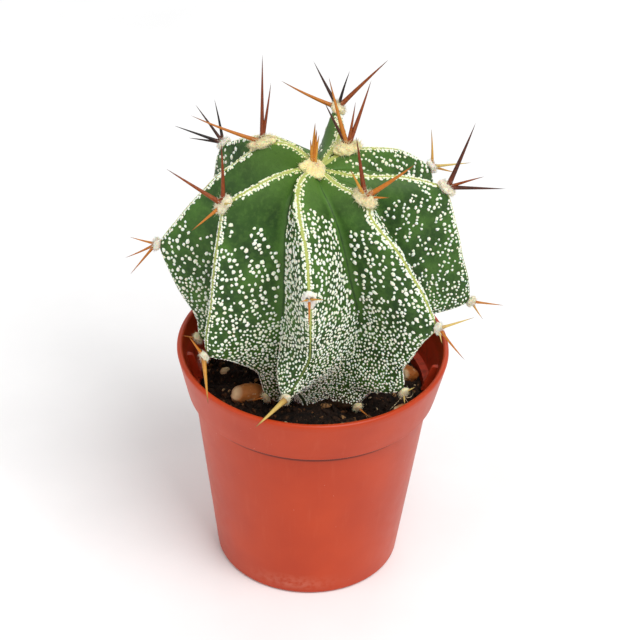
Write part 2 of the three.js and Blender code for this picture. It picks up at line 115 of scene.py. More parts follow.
# The furrows between ribs share one run of [age, reach, height].
FURROW = [[-2, 0, 92.6], [0, 2.2, 92], [2, 5.2, 91.6], [4, 8.8, 90.3], [6, 11.2, 87],
          [8, 12.4, 82], [10, 12.8, 76], [12, 13, 70], [14, 13, 64], [16, 12.8, 58.5],
          [18, 12.5, 54], [20, 11.4, 50], [22, 10, 46.8], [24, 8.8, 44], [27, 7.6, 41],
          [30, 6.6, 38.4]]
FURROW_PATHS = {
    "back": [[0, 178], [3, 178], [5, 181], [8, 192], [11, 199], [30, 200]],
    "front_left": [[0, -46], [2, -41], [4, -34], [6, -30], [12, -27], [18, -32], [30, -30]],
    "front": [[0, 0], [2, 6], [4, 14], [6, 20], [11, 33], [14, 43], [17.5, 39], [20, 30],
              [24, 22], [30, 20]],
}

# Areole wool as [age, half-length along the crest, half-width, half-height].
PADS = [[0, 2.7, 2.6, 1.6], [1, 3.7, 2, 1.5], [5, 2.5, 1.7, 1.3], [8, 2, 1.45, 1.05],
        [11, 1.5, 1.2, 0.95], [30, 1.2, 1, 0.85]]
PAD_RISE = 0.3
ROOT_DEPTH = 0.4
LOW_AGE = 16
YOUNG_AGES = 8            # wool younger than this is fuller

# Spine tones along one scale: pale straw, amber, red-brown, near black.
STRAW, TAN, AMBER, RUST, DARK, BLACK = 0.0, 0.2, 0.4, 0.65, 0.85, 1.0

# [rib, age, [azimuth, elevation, length, tone] for each spine]
AREOLES = [
    ("front", 0, [(178, 66, 9.2, 0.32), (160, 66, 7, TAN), (-163, 66, 6, 0.32),
                  (170, 70, 8, AMBER)]),
    ("back_right", 1, [(-130, 51, 10.2, DARK), (-149, 56, 14.3, AMBER),
                       (164, 59, 9.1, RUST), (149, 54, 14, RUST)]),
    ("left", 2, [(-177, 61, 17, RUST), (167, 58, 11.7, RUST), (-98, 17, 14.9, AMBER)]),
    ("front_right", 3, [(-160, 60, 11.8, RUST), (-110, 60, 6.5, TAN),
                        (108, 31, 11.9, AMBER), (80, 8, 4.9, AMBER)]),
    ("back", 4, [(-101, 21, 12.6, AMBER), (-131, 49, 10.5, DARK), (149, 58, 7.7, BLACK),
                 (117, 38, 13.9, RUST)]),
    ("front_left", 5, [(-173, 62, 12.1, RUST), (-105, 27, 12.8, RUST),
                       (-50, -22, 8.3, AMBER), (28, 33, 4.6, STRAW)]),
    ("right", 6, [(143, 52, 13.7, DARK), (94, 19, 7.5, RUST), (86, 3, 11.4, DARK)]),
    ("back_left", 7, [(-155, 58, 8.9, BLACK), (-122, 44, 9.5, DARK), (-96, 17, 10.5, BLACK),
                      (-94, 5, 7.1, BLACK)]),
    ("front", 8, [(50, 25, 4.2, TAN), (0, -33, 5.7, AMBER), (-47, 15, 2.6, TAN)]),
    ("back_right", 9, [(-173, 61, 7.6, TAN), (94, 6, 8, STRAW), (125, -30, 7, TAN)]),
    ("left", 10, [(-98, 10, 5.6, AMBER), (-74, -21, 6.8, AMBER), (-52, -38, 8.1, AMBER)]),
    ("front_right", 11, [(98, 18, 7.3, STRAW), (56, -38, 8, AMBER), (16, -40, 3.2, STRAW)]),
    ("back", 12, None),
    ("front_left", 13, [(-100, 56, 5.6, AMBER), (10, -40, 9.7, TAN)]),
    ("right", 14, [(87, -4, 6.6, AMBER), (50, -42, 4.3, TAN)]),
    ("back_left", 15, None),
    ("front", 16, [(-32, -1, 10.7, STRAW)]),
    ("back_right", 17, None),
    ("left", 18, [(-94, 8, 3.4, AMBER)]),
    ("front_right", 19, [(10, -40, 2.6, STRAW), (88, 35, 2.8, STRAW)]),
    ("back", 20, None),
    ("front_left", 21, [(-77, -5, 3.4, AMBER)]),
    ("front_right", 26, [(54, -20, 3.2, AMBER)]),
]
USUAL_SPINES = ((-38, 22), (36, 12), (2, -30))
USUAL_LENGTH, LOW_LENGTH = 8.0, 3.4

# Stones: x, y, half-length, half-width, half-height, turn, tint (0 brown .. 1 pale)
STONES = [
    (-13.0, -5.8, 3.3, 2.3, 1.9, 12, 0.45), (-12.2, -13.4, 1.9, 1.2, 0.9, -20, 0.3),
    (6.6, -15.4, 1.7, 1.1, 0.9, 5, 0.95), (19.6, 4.0, 2.1, 2.0, 1.8, 40, 0.1),
    (18.2, -8.6, 1.6, 1.5, 1.3, 15, 0.5), (-17.8, 2.4, 1.2, 0.9, 0.8, 60, 0.9),
    (-10.5, 15.8, 2.2, 1.6, 1.3, 35, 0.3), (12.6, 15.4, 1.8, 1.3, 1.1, -25, 0.6),
    (0.6, 19.6, 1.4, 1.2, 1.0, 10, 0.7),
]
STONE_RISE = 0.35
PALE_SIDE = np.asarray([-0.93, -0.1, 0.35])   # where a stone's crust is palest, in its own axes

# ---- Fineness of the visual model ----------------------------------------------------

ROWS_PER_AGE = 5
SECTION_STEPS = 14        # steps from crest to furrow on each flank
SECTION_CROWDING = 1.6    # crowds the steps towards the crest
POT_TURN_STEPS = 192
SPINE_ROUND_STEPS = 10
SPINE_LONG_STEPS = 14

# ---- Camera, from the photograph's own geometry --------------------------------------

IMAGE_SIZE = 640
CAMERA_DISTANCE = 600.0
CAMERA_ELEVATION = 36.12
CAMERA_ROLL = 1.78
FOCAL_PIXELS = 2967.2
AIM_HEIGHT = 50.0                 # the point (0, 0, AIM_HEIGHT) falls on AIM_PIXEL
AIM_PIXEL = (312.97, 345.30)
SENSOR_WIDTH = 36.0

# ---- Small helpers -------------------------------------------------------------------


def polar(azimuth, reach, height):
    """Points at azimuths, distances from the axis and heights; works on arrays."""
    angle = np.radians(azimuth)
    return np.stack(np.broadcast_arrays(reach * np.sin(angle), -reach * np.cos(angle), height), -1)


def unit(vectors):
    length = np.linalg.norm(vectors, axis=-1, keepdims=True)
    return vectors / np.maximum(length, 1e-12)


def rise(values, start, span):
    """0 up to `start`, then up to 1 over `span`; a negative span makes it fall with the value."""
    return np.clip((values - start) / span, 0, 1)


def read_knots(knots, ages, column, ease):
    """A column of [age, ...] knots at some ages, from straight (0) to smooth (1)."""
    table = np.asarray([[knot[0], knot[column]] for knot in knots], float)
    x, y = table.T
    ages = np.asarray(ages, float)
    i = np.clip(np.searchsorted(x, ages) - 1, 0, len(x) - 2)
    padded = np.pad(table, ((1, 1), (0, 0)), "edge")
    slope = np.divide(*(padded[2:] - padded[:-2]).T[::-1])
    span = x[i + 1] - x[i]
    t = rise(ages, x[i], span)
    straight = y[i] + (y[i + 1] - y[i]) * t
    curved = ((2 * t**3 - 3 * t**2 + 1) * y[i] + (t**3 - 2 * t**2 + t) * span * slope[i]
              + (3 * t**2 - 2 * t**3) * y[i + 1] + (t**3 - t**2) * span * slope[i + 1])
    return straight + (curved - straight) * ease


def wave_noise(points, scale, seed, waves=14):
    """Smooth noise from -1 to 1 at points in millimetres, about `scale` mm a lump."""
    draw = np.random.default_rng(seed)
    total = np.zeros(points.shape[:-1])
    for _ in range(waves):
        direction = unit(draw.normal(size=3)) * draw.uniform(0.6, 1.5) * 2 * math.pi / (2 * scale)
        total += np.sin(points @ direction + draw.uniform(0, 2 * math.pi))
    return total / math.sqrt(waves / 2) / 1.6


def lumps(points, layers, shift=0):
    """Noise in several sizes at once, by layers of (height, size, seed)."""
    return sum(height * wave_noise(points, size, seed + shift) for height, size, seed in layers)


def grid_faces(rows, columns):
    """Quads between `rows` closed rings of `columns` vertices each."""
    row, column = np.meshgrid(np.arange(rows - 1), np.arange(columns), indexing="ij")
    beside = (column + 1) % columns
    quads = np.stack([row * columns + column, row * columns + beside,
                      (row + 1) * columns + beside, (row + 1) * columns + column], -1)
    return [tuple(face) for face in quads.reshape(-1, 4).tolist()]


def fan_faces(centre, ring):
    """Triangles from a centre to the edges of a ring."""
    ring = list(ring)
    return [(centre, b, a) for a, b in zip(ring, ring[1:] + ring[:1])]


def closed_faces(rows, columns, inward=False):
    """Faces of a tube of rings that ends in two more vertices, one for each end."""
    size = rows * columns
    faces = grid_faces(rows, columns) + fan_faces(size, range(columns))
    faces += fan_faces(size + 1, range(size - 1, size - columns - 1, -1))
    return [face[::-1] for face in faces] if inward else faces


def link(name, data):
    """A new object of some data, put in the scene."""
    thing = bpy.data.objects.new(name, data)
    bpy.context.scene.collection.objects.link(thing)
    return thing


def make_mesh(name, points, faces, scale=1.0):
    mesh = bpy.data.meshes.new(name)
    mesh.from_pydata((np.asarray(points) * scale).tolist(), [], faces)
    mesh.update()
    return mesh


def make_piece(name, points, faces, materials, nodes, values=None, face_materials=None):
    """A smooth piece in the frame: points in millimetres, riding on the root body."""
    mesh = make_mesh(name, points, faces, MM)
    for key, numbers in (values or {}).items():
        layer = mesh.attributes.new(key, "FLOAT", "POINT")
        spread = np.broadcast_to(np.asarray(numbers, np.float32), (len(points),))
        layer.data.foreach_set("value", np.ascontiguousarray(spread))
    for material in materials:
        mesh.materials.append(material)
    if face_materials is not None:
        mesh.polygons.foreach_set("material_index", face_materials)
    mesh.polygons.foreach_set("use_smooth", [True] * len(mesh.polygons))
    mesh.update()
    piece = link(name, mesh)
    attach(piece, ROOT)
    if nodes:
        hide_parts(*nodes)
    return piece


class Gather:
    """Collects many small closed shapes into one mesh, with the attributes it is made for."""

    def __init__(self, *names):
        self.points, self.faces, self.materials = [], [], []
        self.values = {name: [] for name in names}
        self.count = 0

    def add(self, points, faces, material=0, **values):
        """Adds a shape; its attributes that aren't given are 0."""
        self.points.append(np.asarray(points, float))
        self.faces += [tuple(index + self.count for index in face) for face in faces]
        self.materials += [material] * len(faces)
        for name, parts in self.values.items():
            parts.append(np.broadcast_to(np.asarray(values.get(name, 0), float), (len(points),)))
        self.count += len(points)

    def piece(self, name, materials, nodes, slot):
        values = {key: np.concatenate(parts) for key, parts in self.values.items()}
        return make_piece(name, np.concatenate(self.points), self.faces, materials, nodes,
                          values, self.materials)


# ---- Materials -----------------------------------------------------------------------


def srgb(red, green, blue):
    """A display colour, 0 to 255, as the linear RGBA that Blender mixes in."""
    linear = [c / 12.92 if c <= 0.04045 else ((c + 0.055) / 1.055) ** 2.4
              for c in (red / 255, green / 255, blue / 255)]
    return (*linear, 1.0)


class Surface:
    """A node material, with shorthands for wiring it. Lengths are in millimetres."""

    def __init__(self, name, **constants):
        self.material = bpy.data.materials.new(name)
        self.material.use_nodes = True
        self.tree = self.material.node_tree
        self.shader = self.tree.nodes["Principled BSDF"]
        self.place = self.add("ShaderNodeTexCoord").outputs["Object"]
        self.colour = None
        for socket, value in constants.items():
            self.shader.inputs[socket.replace("_", " ")].default_value = value

    def add(self, kind, inputs=None, **settings):
        node = self.tree.nodes.new(kind)
        for key, value in settings.items():
            setattr(node, key, value)
        for key, value in (inputs or {}).items():
            self.feed(node.inputs[key], value)
        return node

    def feed(self, socket, value):
        if isinstance(value, bpy.types.NodeSocket):
            self.tree.links.new(value, socket)
        else:
            socket.default_value = value

    def attribute(self, name):
        return self.add("ShaderNodeAttribute", attribute_name=name).outputs["Fac"]

    def noise(self, size, detail=3.0, stretch=(1, 1, 1), distortion=0.0):
        """Noise from 0 to 1 in lumps of about `size` mm, longer along an axis where stretched."""
        scale = [1 / (MM * size * factor) for factor in stretch]
        spot = self.add("ShaderNodeVectorMath", {0: self.place, 1: scale}, operation="MULTIPLY")
        noise = self.add("ShaderNodeTexNoise", {"Vector": spot.outputs[0], "Scale": 1.0,
                                                "Detail": detail, "Distortion": distortion})
        return noise.outputs["Fac"]

    def cells(self, size):
        """Distance to the nearest of scattered points about `size` mm apart, 0 to about 1."""
        spots = self.add("ShaderNodeTexVoronoi", {"Vector": self.place, "Scale": 1 / (MM * size)})
        return spots.outputs["Distance"]

    def plus(self, a, b):
        return self.add("ShaderNodeMath", {0: a, 1: b}, operation="ADD").outputs[0]

    def times(self, a, b):
        return self.add("ShaderNodeMath", {0: a, 1: b}, operation="MULTIPLY").outputs[0]

    def step(self, value, low, high, most=1.0):
        """0 below `low`, `most` above `high`, smooth between; falls if high < low."""
        ends = (most, 0.0) if low > high else (0.0, most)
        inputs = {"Value": value, "From Min": min(low, high), "From Max": max(low, high),
                  "To Min": ends[0], "To Max": ends[1]}
        step = self.add("ShaderNodeMapRange", inputs, interpolation_type="SMOOTHSTEP")
        return step.outputs["Result"]

    def between(self, share, low, high):
        """A number from `low` to `high` by a share from 0 to 1."""
        inputs = {"Value": share, "To Min": low, "To Max": high}
        return self.add("ShaderNodeMapRange", inputs).outputs["Result"]

    def ramp(self, value, *stops):
        """A colour from a value, by stops of (position, red, green, blue)."""
        ramp = self.add("ShaderNodeValToRGB", {"Fac": value})
        elements = ramp.color_ramp.elements
        for index, (position, *colour) in enumerate(stops):
            element = elements[index] if index < 2 else elements.new(position)
            element.position, element.color = position, srgb(*colour)
        return ramp.outputs["Color"]

    def paint(self, share, *colour):
        """Lays a display colour, or one from a socket, over what is there, by a share."""
        over = srgb(*colour) if len(colour) == 3 else colour[0]
        mix = self.add("ShaderNodeMix", data_type="RGBA")
        for index, value in ((0, share), (6, self.colour), (7, over)):
            self.feed(mix.inputs[index], value)
        self.colour = mix.outputs[2]

    def done(self, *layers, roughness=None):
        """The wired material; its layers are bumps of (height from 0 to 1, depth in mm)."""
        normal = None
        for height, depth in layers:
            inputs = {"Height": height, "Distance": depth * MM, "Strength": 1.0}
            if normal is not None:
                inputs["Normal"] = normal
            normal = self.add("ShaderNodeBump", inputs).outputs["Normal"]
        self.feed(self.shader.inputs["Normal"], normal)
        self.feed(self.shader.inputs["Base Color"], self.colour)
        if roughness is not None:
            self.feed(self.shader.inputs["Roughness"], roughness)
        return self.material


def skin_material():
    """Waxy green skin with a pale line along each crest and a corky brown neck."""
    skin = Surface("cactus_skin", Specular_IOR_Level=0.3, Subsurface_Weight=0.06,
                   Subsurface_Scale=0.0008, Subsurface_Radius=(0.5, 1.0, 0.25))
    age, crest, depth = [skin.attribute(name) for name in ("age", "crest_mm", "depth")]
    fine = skin.noise(0.9, 4.0)
    skin.colour = skin.ramp(skin.noise(6.0, 4.0), (0.3, 30, 58, 18), (0.5, 45, 79, 24),
                            (0.72, 70, 110, 38))
    # Brighter green towards the tip: partly the young skin's own paler green, partly a painted highlight
    # where the young top shines.
    skin.paint(skin.step(age, 6.5, 1.0, 0.55), 94, 132, 48)
    valley = skin.times(skin.step(depth, 0.8, 0.93), skin.step(age, 15.0, 12.0, 0.6))
    skin.paint(valley, 78, 118, 44)
    # Painted shade: the bottom of each furrow is painted dark, where shade gathers.
    crease = skin.step(depth, 0.965, 1.0, 0.7)
    skin.paint(crease, 24, 46, 22)
    mottle = skin.step(fine, 0.45, 0.7, 0.3)
    skin.paint(mottle, 88, 124, 52)
    pores = skin.step(skin.cells(0.42), 0.26, 0.12, 0.4)
    skin.paint(pores, 34, 62, 22)

    # The crest line is broader near the tip and narrower, then gone, low down.
    ragged = skin.plus(crest, skin.between(skin.noise(0.8, 2.0), -0.16, 0.16))
    ragged = skin.plus(ragged, skin.step(age, 7.0, 3.0, -0.22))
    ragged = skin.plus(ragged, skin.step(age, 8.0, 13.0, 0.2))
    line = skin.times(skin.step(ragged, 0.5, 0.14, 0.88), skin.step(age, 17.5, 10.5))
    skin.paint(line, 180, 188, 100)

    neck = skin.step(skin.plus(age, skin.between(skin.noise(2.2, 3.0), -2.2, 2.2)), 22.5, 26.0)
    cork = skin.ramp(skin.noise(1.1, 5.0, stretch=(1, 1, 0.4)),
                     (0.3, 38, 26, 16), (0.6, 78, 56, 36), (0.8, 118, 92, 62))
    skin.paint(neck, cork)
    rough = skin.plus(skin.between(skin.noise(1.6, 3.0), 0.48, 0.66), skin.times(neck, 0.3))
    return skin.done((skin.noise(2.6, 3.0), 0.10), (skin.cells(0.42), 0.025), (fine, 0.03),
                     roughness=rough)


def fleck_material():
    """Felted white scales, each a tuft of matted hairs."""
    fleck = Surface("felt_fleck", Roughness=0.9, Specular_IOR_Level=0.2, Sheen_Weight=0.3,
                    Sheen_Roughness=0.6, Subsurface_Weight=0.2, Subsurface_Scale=0.0003)
    fleck.colour = fleck.ramp(fleck.attribute("tint"), (0.0, 238, 234, 178),
                              (0.4, 246, 247, 224), (1.0, 253, 254, 244))
    grain = fleck.noise(0.14, 3.0)
    fleck.paint(fleck.step(grain, 0.6, 0.4, 0.2), 206, 208, 170)
    return fleck.done((grain, 0.03))


def wool_material():
    """Cream wool, yellower on the young areoles and whiter, then greyer, with age."""
    wool = Surface("areole_wool", Roughness=0.92, Specular_IOR_Level=0.12, Sheen_Weight=0.4,
                   Sheen_Roughness=0.55, Subsurface_Weight=0.3, Subsurface_Scale=0.0008)
    wool.colour = wool.ramp(wool.attribute("years"), (0.0, 250, 232, 166), (0.2, 250, 234, 190),
                            (0.4, 253, 248, 236), (0.7, 248, 238, 206), (1.0, 242, 226, 178))
    # Painted shade: darker tan patches stand in for the shade between the wool's tufts.
    painted_tuft_shade = wool.noise(0.5, 4.0, distortion=1.5)
    wool.paint(wool.step(painted_tuft_shade, 0.5, 0.32, 0.35), 206, 160, 92)
    stain = wool.times(wool.attribute("near_spines"), wool.step(wool.noise(0.35), 0.3, 0.6, 0.75))
    wool.paint(stain, 158, 88, 38)
    # Painted shade: the dents pressed into the wool are painted near black.
    wool.paint(wool.attribute("pit"), 40, 14, 10)
    return wool.done((wool.noise(0.22, 4.0, distortion=2.0), 0.14))


def spine_material():
    """Horn-like spines, from straw through amber and rust to black, darker at the tip."""
    spine = Surface("spine_horn", Specular_IOR_Level=0.3, Coat_Weight=0.06, Coat_Roughness=0.25)
    along = spine.attribute("along")
    rings = spine.noise(0.5, 3.0)
    level = spine.plus(spine.attribute("tone"), spine.between(rings, -0.13, 0.13))
    spine.colour = spine.ramp(level, (0.0, 208, 182, 106), (0.2, 196, 140, 52), (0.4, 182, 106, 22),
                              (0.65, 122, 50, 4), (0.85, 60, 24, 6), (1.0, 24, 14, 10))
    foot = spine.step(along, 0.25, 0.0, 0.55)
    spine.paint(foot, 132, 56, 6)
    tip = spine.step(along, 0.7, 0.98, 0.7)
    spine.paint(tip, 52, 26, 18)
    return spine.done((spine.noise(0.12, 2.0), 0.02), (rings, 0.03),
                      roughness=spine.between(rings, 0.32, 0.55))


def plastic_material():
    """Moulded terracotta-coloured plastic with a fine grain, faint scuffs and dust."""
    pot = Surface("pot_plastic", Specular_IOR_Level=0.32, Subsurface_Weight=0.04,
                  Subsurface_Scale=0.0006, Subsurface_Radius=(1.0, 0.35, 0.2))
    pot.colour = pot.ramp(pot.noise(14.0, 3.0), (0.3, 177, 53, 12), (0.7, 191, 63, 19))
    streak = pot.step(pot.noise(1.6, 4.0, stretch=(1, 1, 9)), 0.55, 0.85, 0.12)
    pot.paint(streak, 214, 112, 78)
    # Painted light: the pot's inside face is painted paler than its outside, to lift the shade within the
    # pot.
    pot.paint(pot.attribute("inner"), 210, 68, 38)
    # Darker in patches low on the inner wall, towards the mix.
    grime = pot.times(pot.attribute("grime"), pot.step(pot.noise(1.4, 5.0), 0.42, 0.7, 0.7))
    pot.paint(grime, 58, 30, 20)
    # Painted shadow: a dark line just under the collar's overhang.
    pot.paint(pot.times(pot.attribute("crease"), 0.8), 84, 24, 8)
    dust = pot.times(pot.step(pot.cells(1.9), 0.06, 0.03), pot.step(pot.noise(6.0), 0.48, 0.62, 0.55))
    pot.paint(dust, 226, 196, 176)
    smear = pot.times(pot.attribute("smear"), pot.step(pot.noise(1.2, 4.0), 0.3, 0.6, 0.4))
    pot.paint(smear, 232, 176, 150)
    return pot.done((pot.noise(22.0, 1.0), 0.10), (pot.noise(0.35, 3.0), 0.008),
                    roughness=pot.between(pot.noise(2.4, 4.0), 0.32, 0.46))


def soil_material():
    """Dark peat with browner fibre and paler mineral dust."""
    soil = Surface("potting_mix", Roughness=0.95, Specular_IOR_Level=0.25)
    soil.colour = soil.ramp(soil.noise(1.3, 6.0), (0.35, 13, 8, 5), (0.6, 38, 24, 15),
                            (0.8, 92, 62, 38))
    soil.paint(soil.step(soil.noise(0.45, 3.0), 0.63, 0.75, 0.6), 128, 100, 72)
    return soil.done((soil.noise(0.8, 5.0), 0.35), (soil.noise(0.2, 3.0), 0.08))


def crumb_material():
    """Loose crumbs: peat, bark and a little pale grit, by each one's tint."""
    crumb = Surface("mix_crumbs", Roughness=0.9, Specular_IOR_Level=0.25)
    crumb.colour = crumb.ramp(crumb.attribute("tint"), (0.0, 14, 9, 6), (0.5, 46, 29, 18),
                              (0.78, 112, 72, 40), (0.92, 176, 134, 86), (1.0, 228, 208, 168))
    grain = crumb.noise(0.35, 4.0)
    crumb.paint(crumb.step(grain, 0.6, 0.35), 38, 26, 18)
    return crumb.done((grain, 0.12))


def stone_material():
    """River gravel: brown to pale, mottled and dusty with peat low down."""
    stone = Surface("gravel", Specular_IOR_Level=0.4)
    stone.colour = stone.ramp(stone.attribute("tint"), (0.0, 164, 90, 24), (0.45, 178, 108, 46),
                              (1.0, 236, 214, 168))
    stone.paint(stone.step(stone.noise(0.9, 5.0), 0.4, 0.68, 0.35), 132, 78, 36)
    stone.paint(stone.times(stone.attribute("pale"), 0.8), 240, 216, 170)
    vein = stone.step(stone.noise(2.0, 2.0, distortion=3.0), 0.6, 0.66, 0.35)
    stone.paint(vein, 222, 206, 172)
    dirt = stone.times(stone.attribute("dirt"), stone.step(stone.noise(0.7, 4.0), 0.35, 0.6))
    stone.paint(dirt, 40, 28, 19)
    return stone.done((stone.noise(0.5, 5.0), 0.14),
                      roughness=stone.between(stone.noise(1.2, 3.0), 0.55, 0.85))


def floor_material():
    """White card with the slightest grain."""
    floor = Surface("floor_paper", Roughness=0.9, Specular_IOR_Level=0.2)
    floor.colour = floor.ramp(floor.noise(30.0, 4.0), (0.3, 243, 243, 243), (0.7, 248, 248, 248))
    return floor.done((floor.noise(0.8, 4.0), 0.02))


# ---- Cactus body ---------------------------------------------------------------------

AGE_SMOOTHING = 0.3       # how far along the crest its corners are rounded, in ages
UNDULATION, UNDULATION_SIZE = 0.16, 6.0   # slow swell of the flesh: its height and its width


def smooth_rows(values, width):
    """Blurs a column of values along the ages, keeping both ends in place."""
    reach = int(3 * width) + 1
    offsets = np.arange(-reach, reach + 1)
    weights = np.exp(-0.5 * (offsets / width) ** 2)
    padded = np.pad(values, reach, "reflect", reflect_type="odd")
    return np.convolve(padded, weights / weights.sum(), "valid")


def crest_columns(name, ages):
    """Azimuth, reach and height of a rib's crest at some ages."""
    first, last = RIBS[name][0][1], RIBS[name][-1][1]
    knots = [[TIP_AGE, first, 0, TIP_HEIGHT], *RIBS[name], [ROOT_AGE, last, ROOT_RADIUS, ROOT_HEIGHT]]
    return [read_knots(knots, ages, column, CORNER_EASE) for column in (1, 2, 3)]


def furrow_azimuth(index, ages):
    """Azimuth of the furrow after a rib."""
    name = RIB_NAMES[index]
    if name in FURROW_PATHS:
        return read_knots(FURROW_PATHS[name], ages, 1, CORNER_EASE)
    after = RIB_NAMES[(index + 1) % len(RIBS)]
    turn = 360 if index + 1 == len(RIBS) else 0
    return (crest_columns(name, ages)[0] + crest_columns(after, ages)[0] + turn) / 2


def body_grid():
    """The skin as rows of points from tip to root, with each point's place on its rib."""
    rows = (ROOT_AGE - TIP_AGE) * ROWS_PER_AGE
    ages = TIP_AGE + (1 + np.arange(rows)) / ROWS_PER_AGE
    blur = AGE_SMOOTHING * ROWS_PER_AGE
    furrows = []
    for index in range(len(RIBS)):
        columns = (furrow_azimuth(index, ages), read_knots(FURROW, ages, 1, 1),
                   read_knots(FURROW, ages, 2, 1))
        furrows.append(polar(*[smooth_rows(column, blur) for column in columns]))
    steps = np.arange(-SECTION_STEPS, SECTION_STEPS)
    places = np.sign(steps) * (np.abs(steps) / SECTION_STEPS) ** SECTION_CROWDING
    down = np.abs(places)[None, :, None]   # the share of the way from crest to furrow
    sections, crest_gaps = [], []
    for index, name in enumerate(RIB_NAMES):
        crest = polar(*[smooth_rows(column, blur) for column in crest_columns(name, ages)])
        before, after = furrows[index - 1], furrows[index]
        middle = ((before + after) / 2)[:, None]
        half_width = np.linalg.norm(after - before, axis=1)[:, None, None] / 2
        across = unit(after - before)[:, None]
        depth = np.linalg.norm(crest[:, None] - middle, axis=2)[..., None]
        blunt = np.maximum(np.minimum(CREST_ROUND, depth * THIN_CREST), 1e-6)
        nose = np.minimum(1, down * depth / blunt)
        thickness = (half_width * (down + FLANK_SWELL * down * (1 - down))
                     + blunt * (1 - down) * np.sqrt(nose * (2 - nose)))
        section = (crest[:, None] * (1 - down) + middle * down
                   + across * np.sign(places)[None, :, None] * thickness)
        sections.append(section)
        crest_gaps.append(np.linalg.norm(section - crest[:, None], axis=2))
    points = np.concatenate(sections, axis=1)
    # The swell dies out at the tip and in the mix.
    calm = rise(ages, 2, 6)[:, None] * rise(ages, 32, -8)[:, None]
    swell = wave_noise(points, UNDULATION_SIZE, seed=11) * UNDULATION * calm
    points = points + grid_normals(points) * swell[..., None]
    return {"ages": ages, "places": np.tile(places, len(RIBS)), "points": points,
            "normals": grid_normals(points), "crest_mm": np.concatenate(crest_gaps, axis=1)}


def grid_normals(points):
    """Outward normals of a closed tube of rows, by the slopes between neighbours."""
    down = np.gradient(points, axis=0)
    around = np.roll(points, -1, axis=1) - np.roll(points, 1, axis=1)
    return unit(np.cross(down, around))


def build_body(grid, material):
    rows, columns = grid["points"].shape[:2]
    ends = [[0, 0, TIP_HEIGHT], [0, 0, BODY_FLOOR]]
    points = np.concatenate([grid["points"].reshape(-1, 3), ends])
    values = {
        "age": np.append(np.repeat(grid["ages"], columns), [TIP_AGE, ROOT_AGE]),
        "crest_mm": np.append(grid["crest_mm"].ravel(), [0, ROOT_RADIUS]),
        "depth": np.append(np.tile(np.abs(grid["places"]), rows), [0, 1]),
    }
    make_piece("fine_cactus_body", points, closed_faces(rows, columns, inward=True), [material],
               ["cactus_body"], values)


# ---- Areole seats --------------------------------------------------------------------


def crest_at(name, age):
    return polar(*crest_columns(name, np.asarray([age], float)))[0]


def areole_seat(name, age):
    """Centre, side, downward crest direction and outward direction of an areole."""
    centre = crest_at(name, age)
    along = unit(crest_at(name, age + 1) - crest_at(name, age - 1))
    side = unit(np.cross(along, unit(centre * (1, 1, 0))))
    out = unit(np.cross(side, along))
    return centre, np.cross(along, out), along, out


def pad_size(age):
    return [float(read_knots(PADS, age, column, 0)) for column in (1, 2, 3)]


# ---- Felt flecks ---------------------------------------------------------------------

# The age where flecks set in on the flank before and the flank after each crest.
FLECKS_FROM = {
    "back_left": (5.5, 6.0), "left": (6.0, 8.6), "front_left": (5.0, 6.3), "front": (3.4, 4.0),
    "front_right": (6.2, 4.2), "right": (4.4, 5.0), "back_right": (1.6, 4.0), "back": (5.5, 4.5),
}
# Nominal widths by age, and how full each rib's felt is beside the usual.
FLECK_SIZES = [[0, 0.6], [4, 0.84], [8, 1.0], [11, 0.94], [13, 0.84], [16, 0.7], [20, 0.6], [30, 0.52]]
FLECK_CROWD = {"front": (0.4, 0.3), "front_right": (0.05, -0.35), "right": (-0.35, 0.0)}
SPARSE_SIZE = 0.82        # flecks are smaller where they are sparse
FLECK_TRIES = 15000       # a rib
FLECK_SIDES = 6
FLECK_HEIGHT = 0.2        # of its width
FLECK_SUNK = 0.05
FLECK_SHOULDER = (0.78, 0.7)   # its reach and height, of the fleck's own
FLECK_PACKING = 0.97      # nearest centres, in widths
WHITE_AGE = 7             # younger flecks are creamier
DENSE_AGE = 11.5          # from here on the felt closes up
ONSET_SPAN, DENSE_SPAN = 0.9, 3.5   # ages over which flecks set in, and over which they close up
CLOUD_SIZE, BREAK_SIZE, WAVER_SIZE = 5.0, 2.2, 3.4   # of the noises that vary the felt
STRING_FALL = 0.5         # ages that a string of flecks falls for each mm away from the crest
STRING_PITCH = 1.25       # ages from string to string
STRING_WAVER = 0.3        # how far a string strays, in pitches
BARE_DEPTH, BARE_AGE = 0.92, 16   # furrows are bare from this depth, up to this age
YOUNGEST_AGE = -0.6       # no fleck is nearer the tip
NECK_AGE = 25.5           # below it the skin is cork
BEAD_GAP = 0.5            # from the crest line to the rows of beads along it
BEAD_PITCH = 0.52
BEAD_SIZE = 0.52
BEADS_START = 1.2         # from the tip
BEAD_STRETCH = 1.35
BEAD_GROWTH = [[0, 0.8], [3, 1.25], [9, 1.2], [12, 1.0]]   # by age
# Rows of beads on each side: gap to the crest line, pitch, share that is there, width.
BEAD_ROWS = ((BEAD_GAP, BEAD_PITCH, 0.97, BEAD_SIZE),
             (BEAD_GAP * 2, BEAD_PITCH * 1.15, 0.6, BEAD_SIZE * 1.1))
PAD_COVER = 0.92          # of a pad's half-sizes, where no fleck stands


def rib_patch(grid, index):
    """One rib's own part of the skin, from the furrow before it to the furrow after."""
    width = 2 * SECTION_STEPS
    columns = (np.arange(width + 1) + index * width) % (width * len(RIBS))
    patch = {name: grid[name][:, columns] for name in ("points", "normals", "crest_mm")}
    crest = patch["points"][:, SECTION_STEPS]
    patch["crest_mm"][:, -1] = np.linalg.norm(patch["points"][:, -1] - crest, axis=1)
    patch["ages"] = grid["ages"]
    return patch


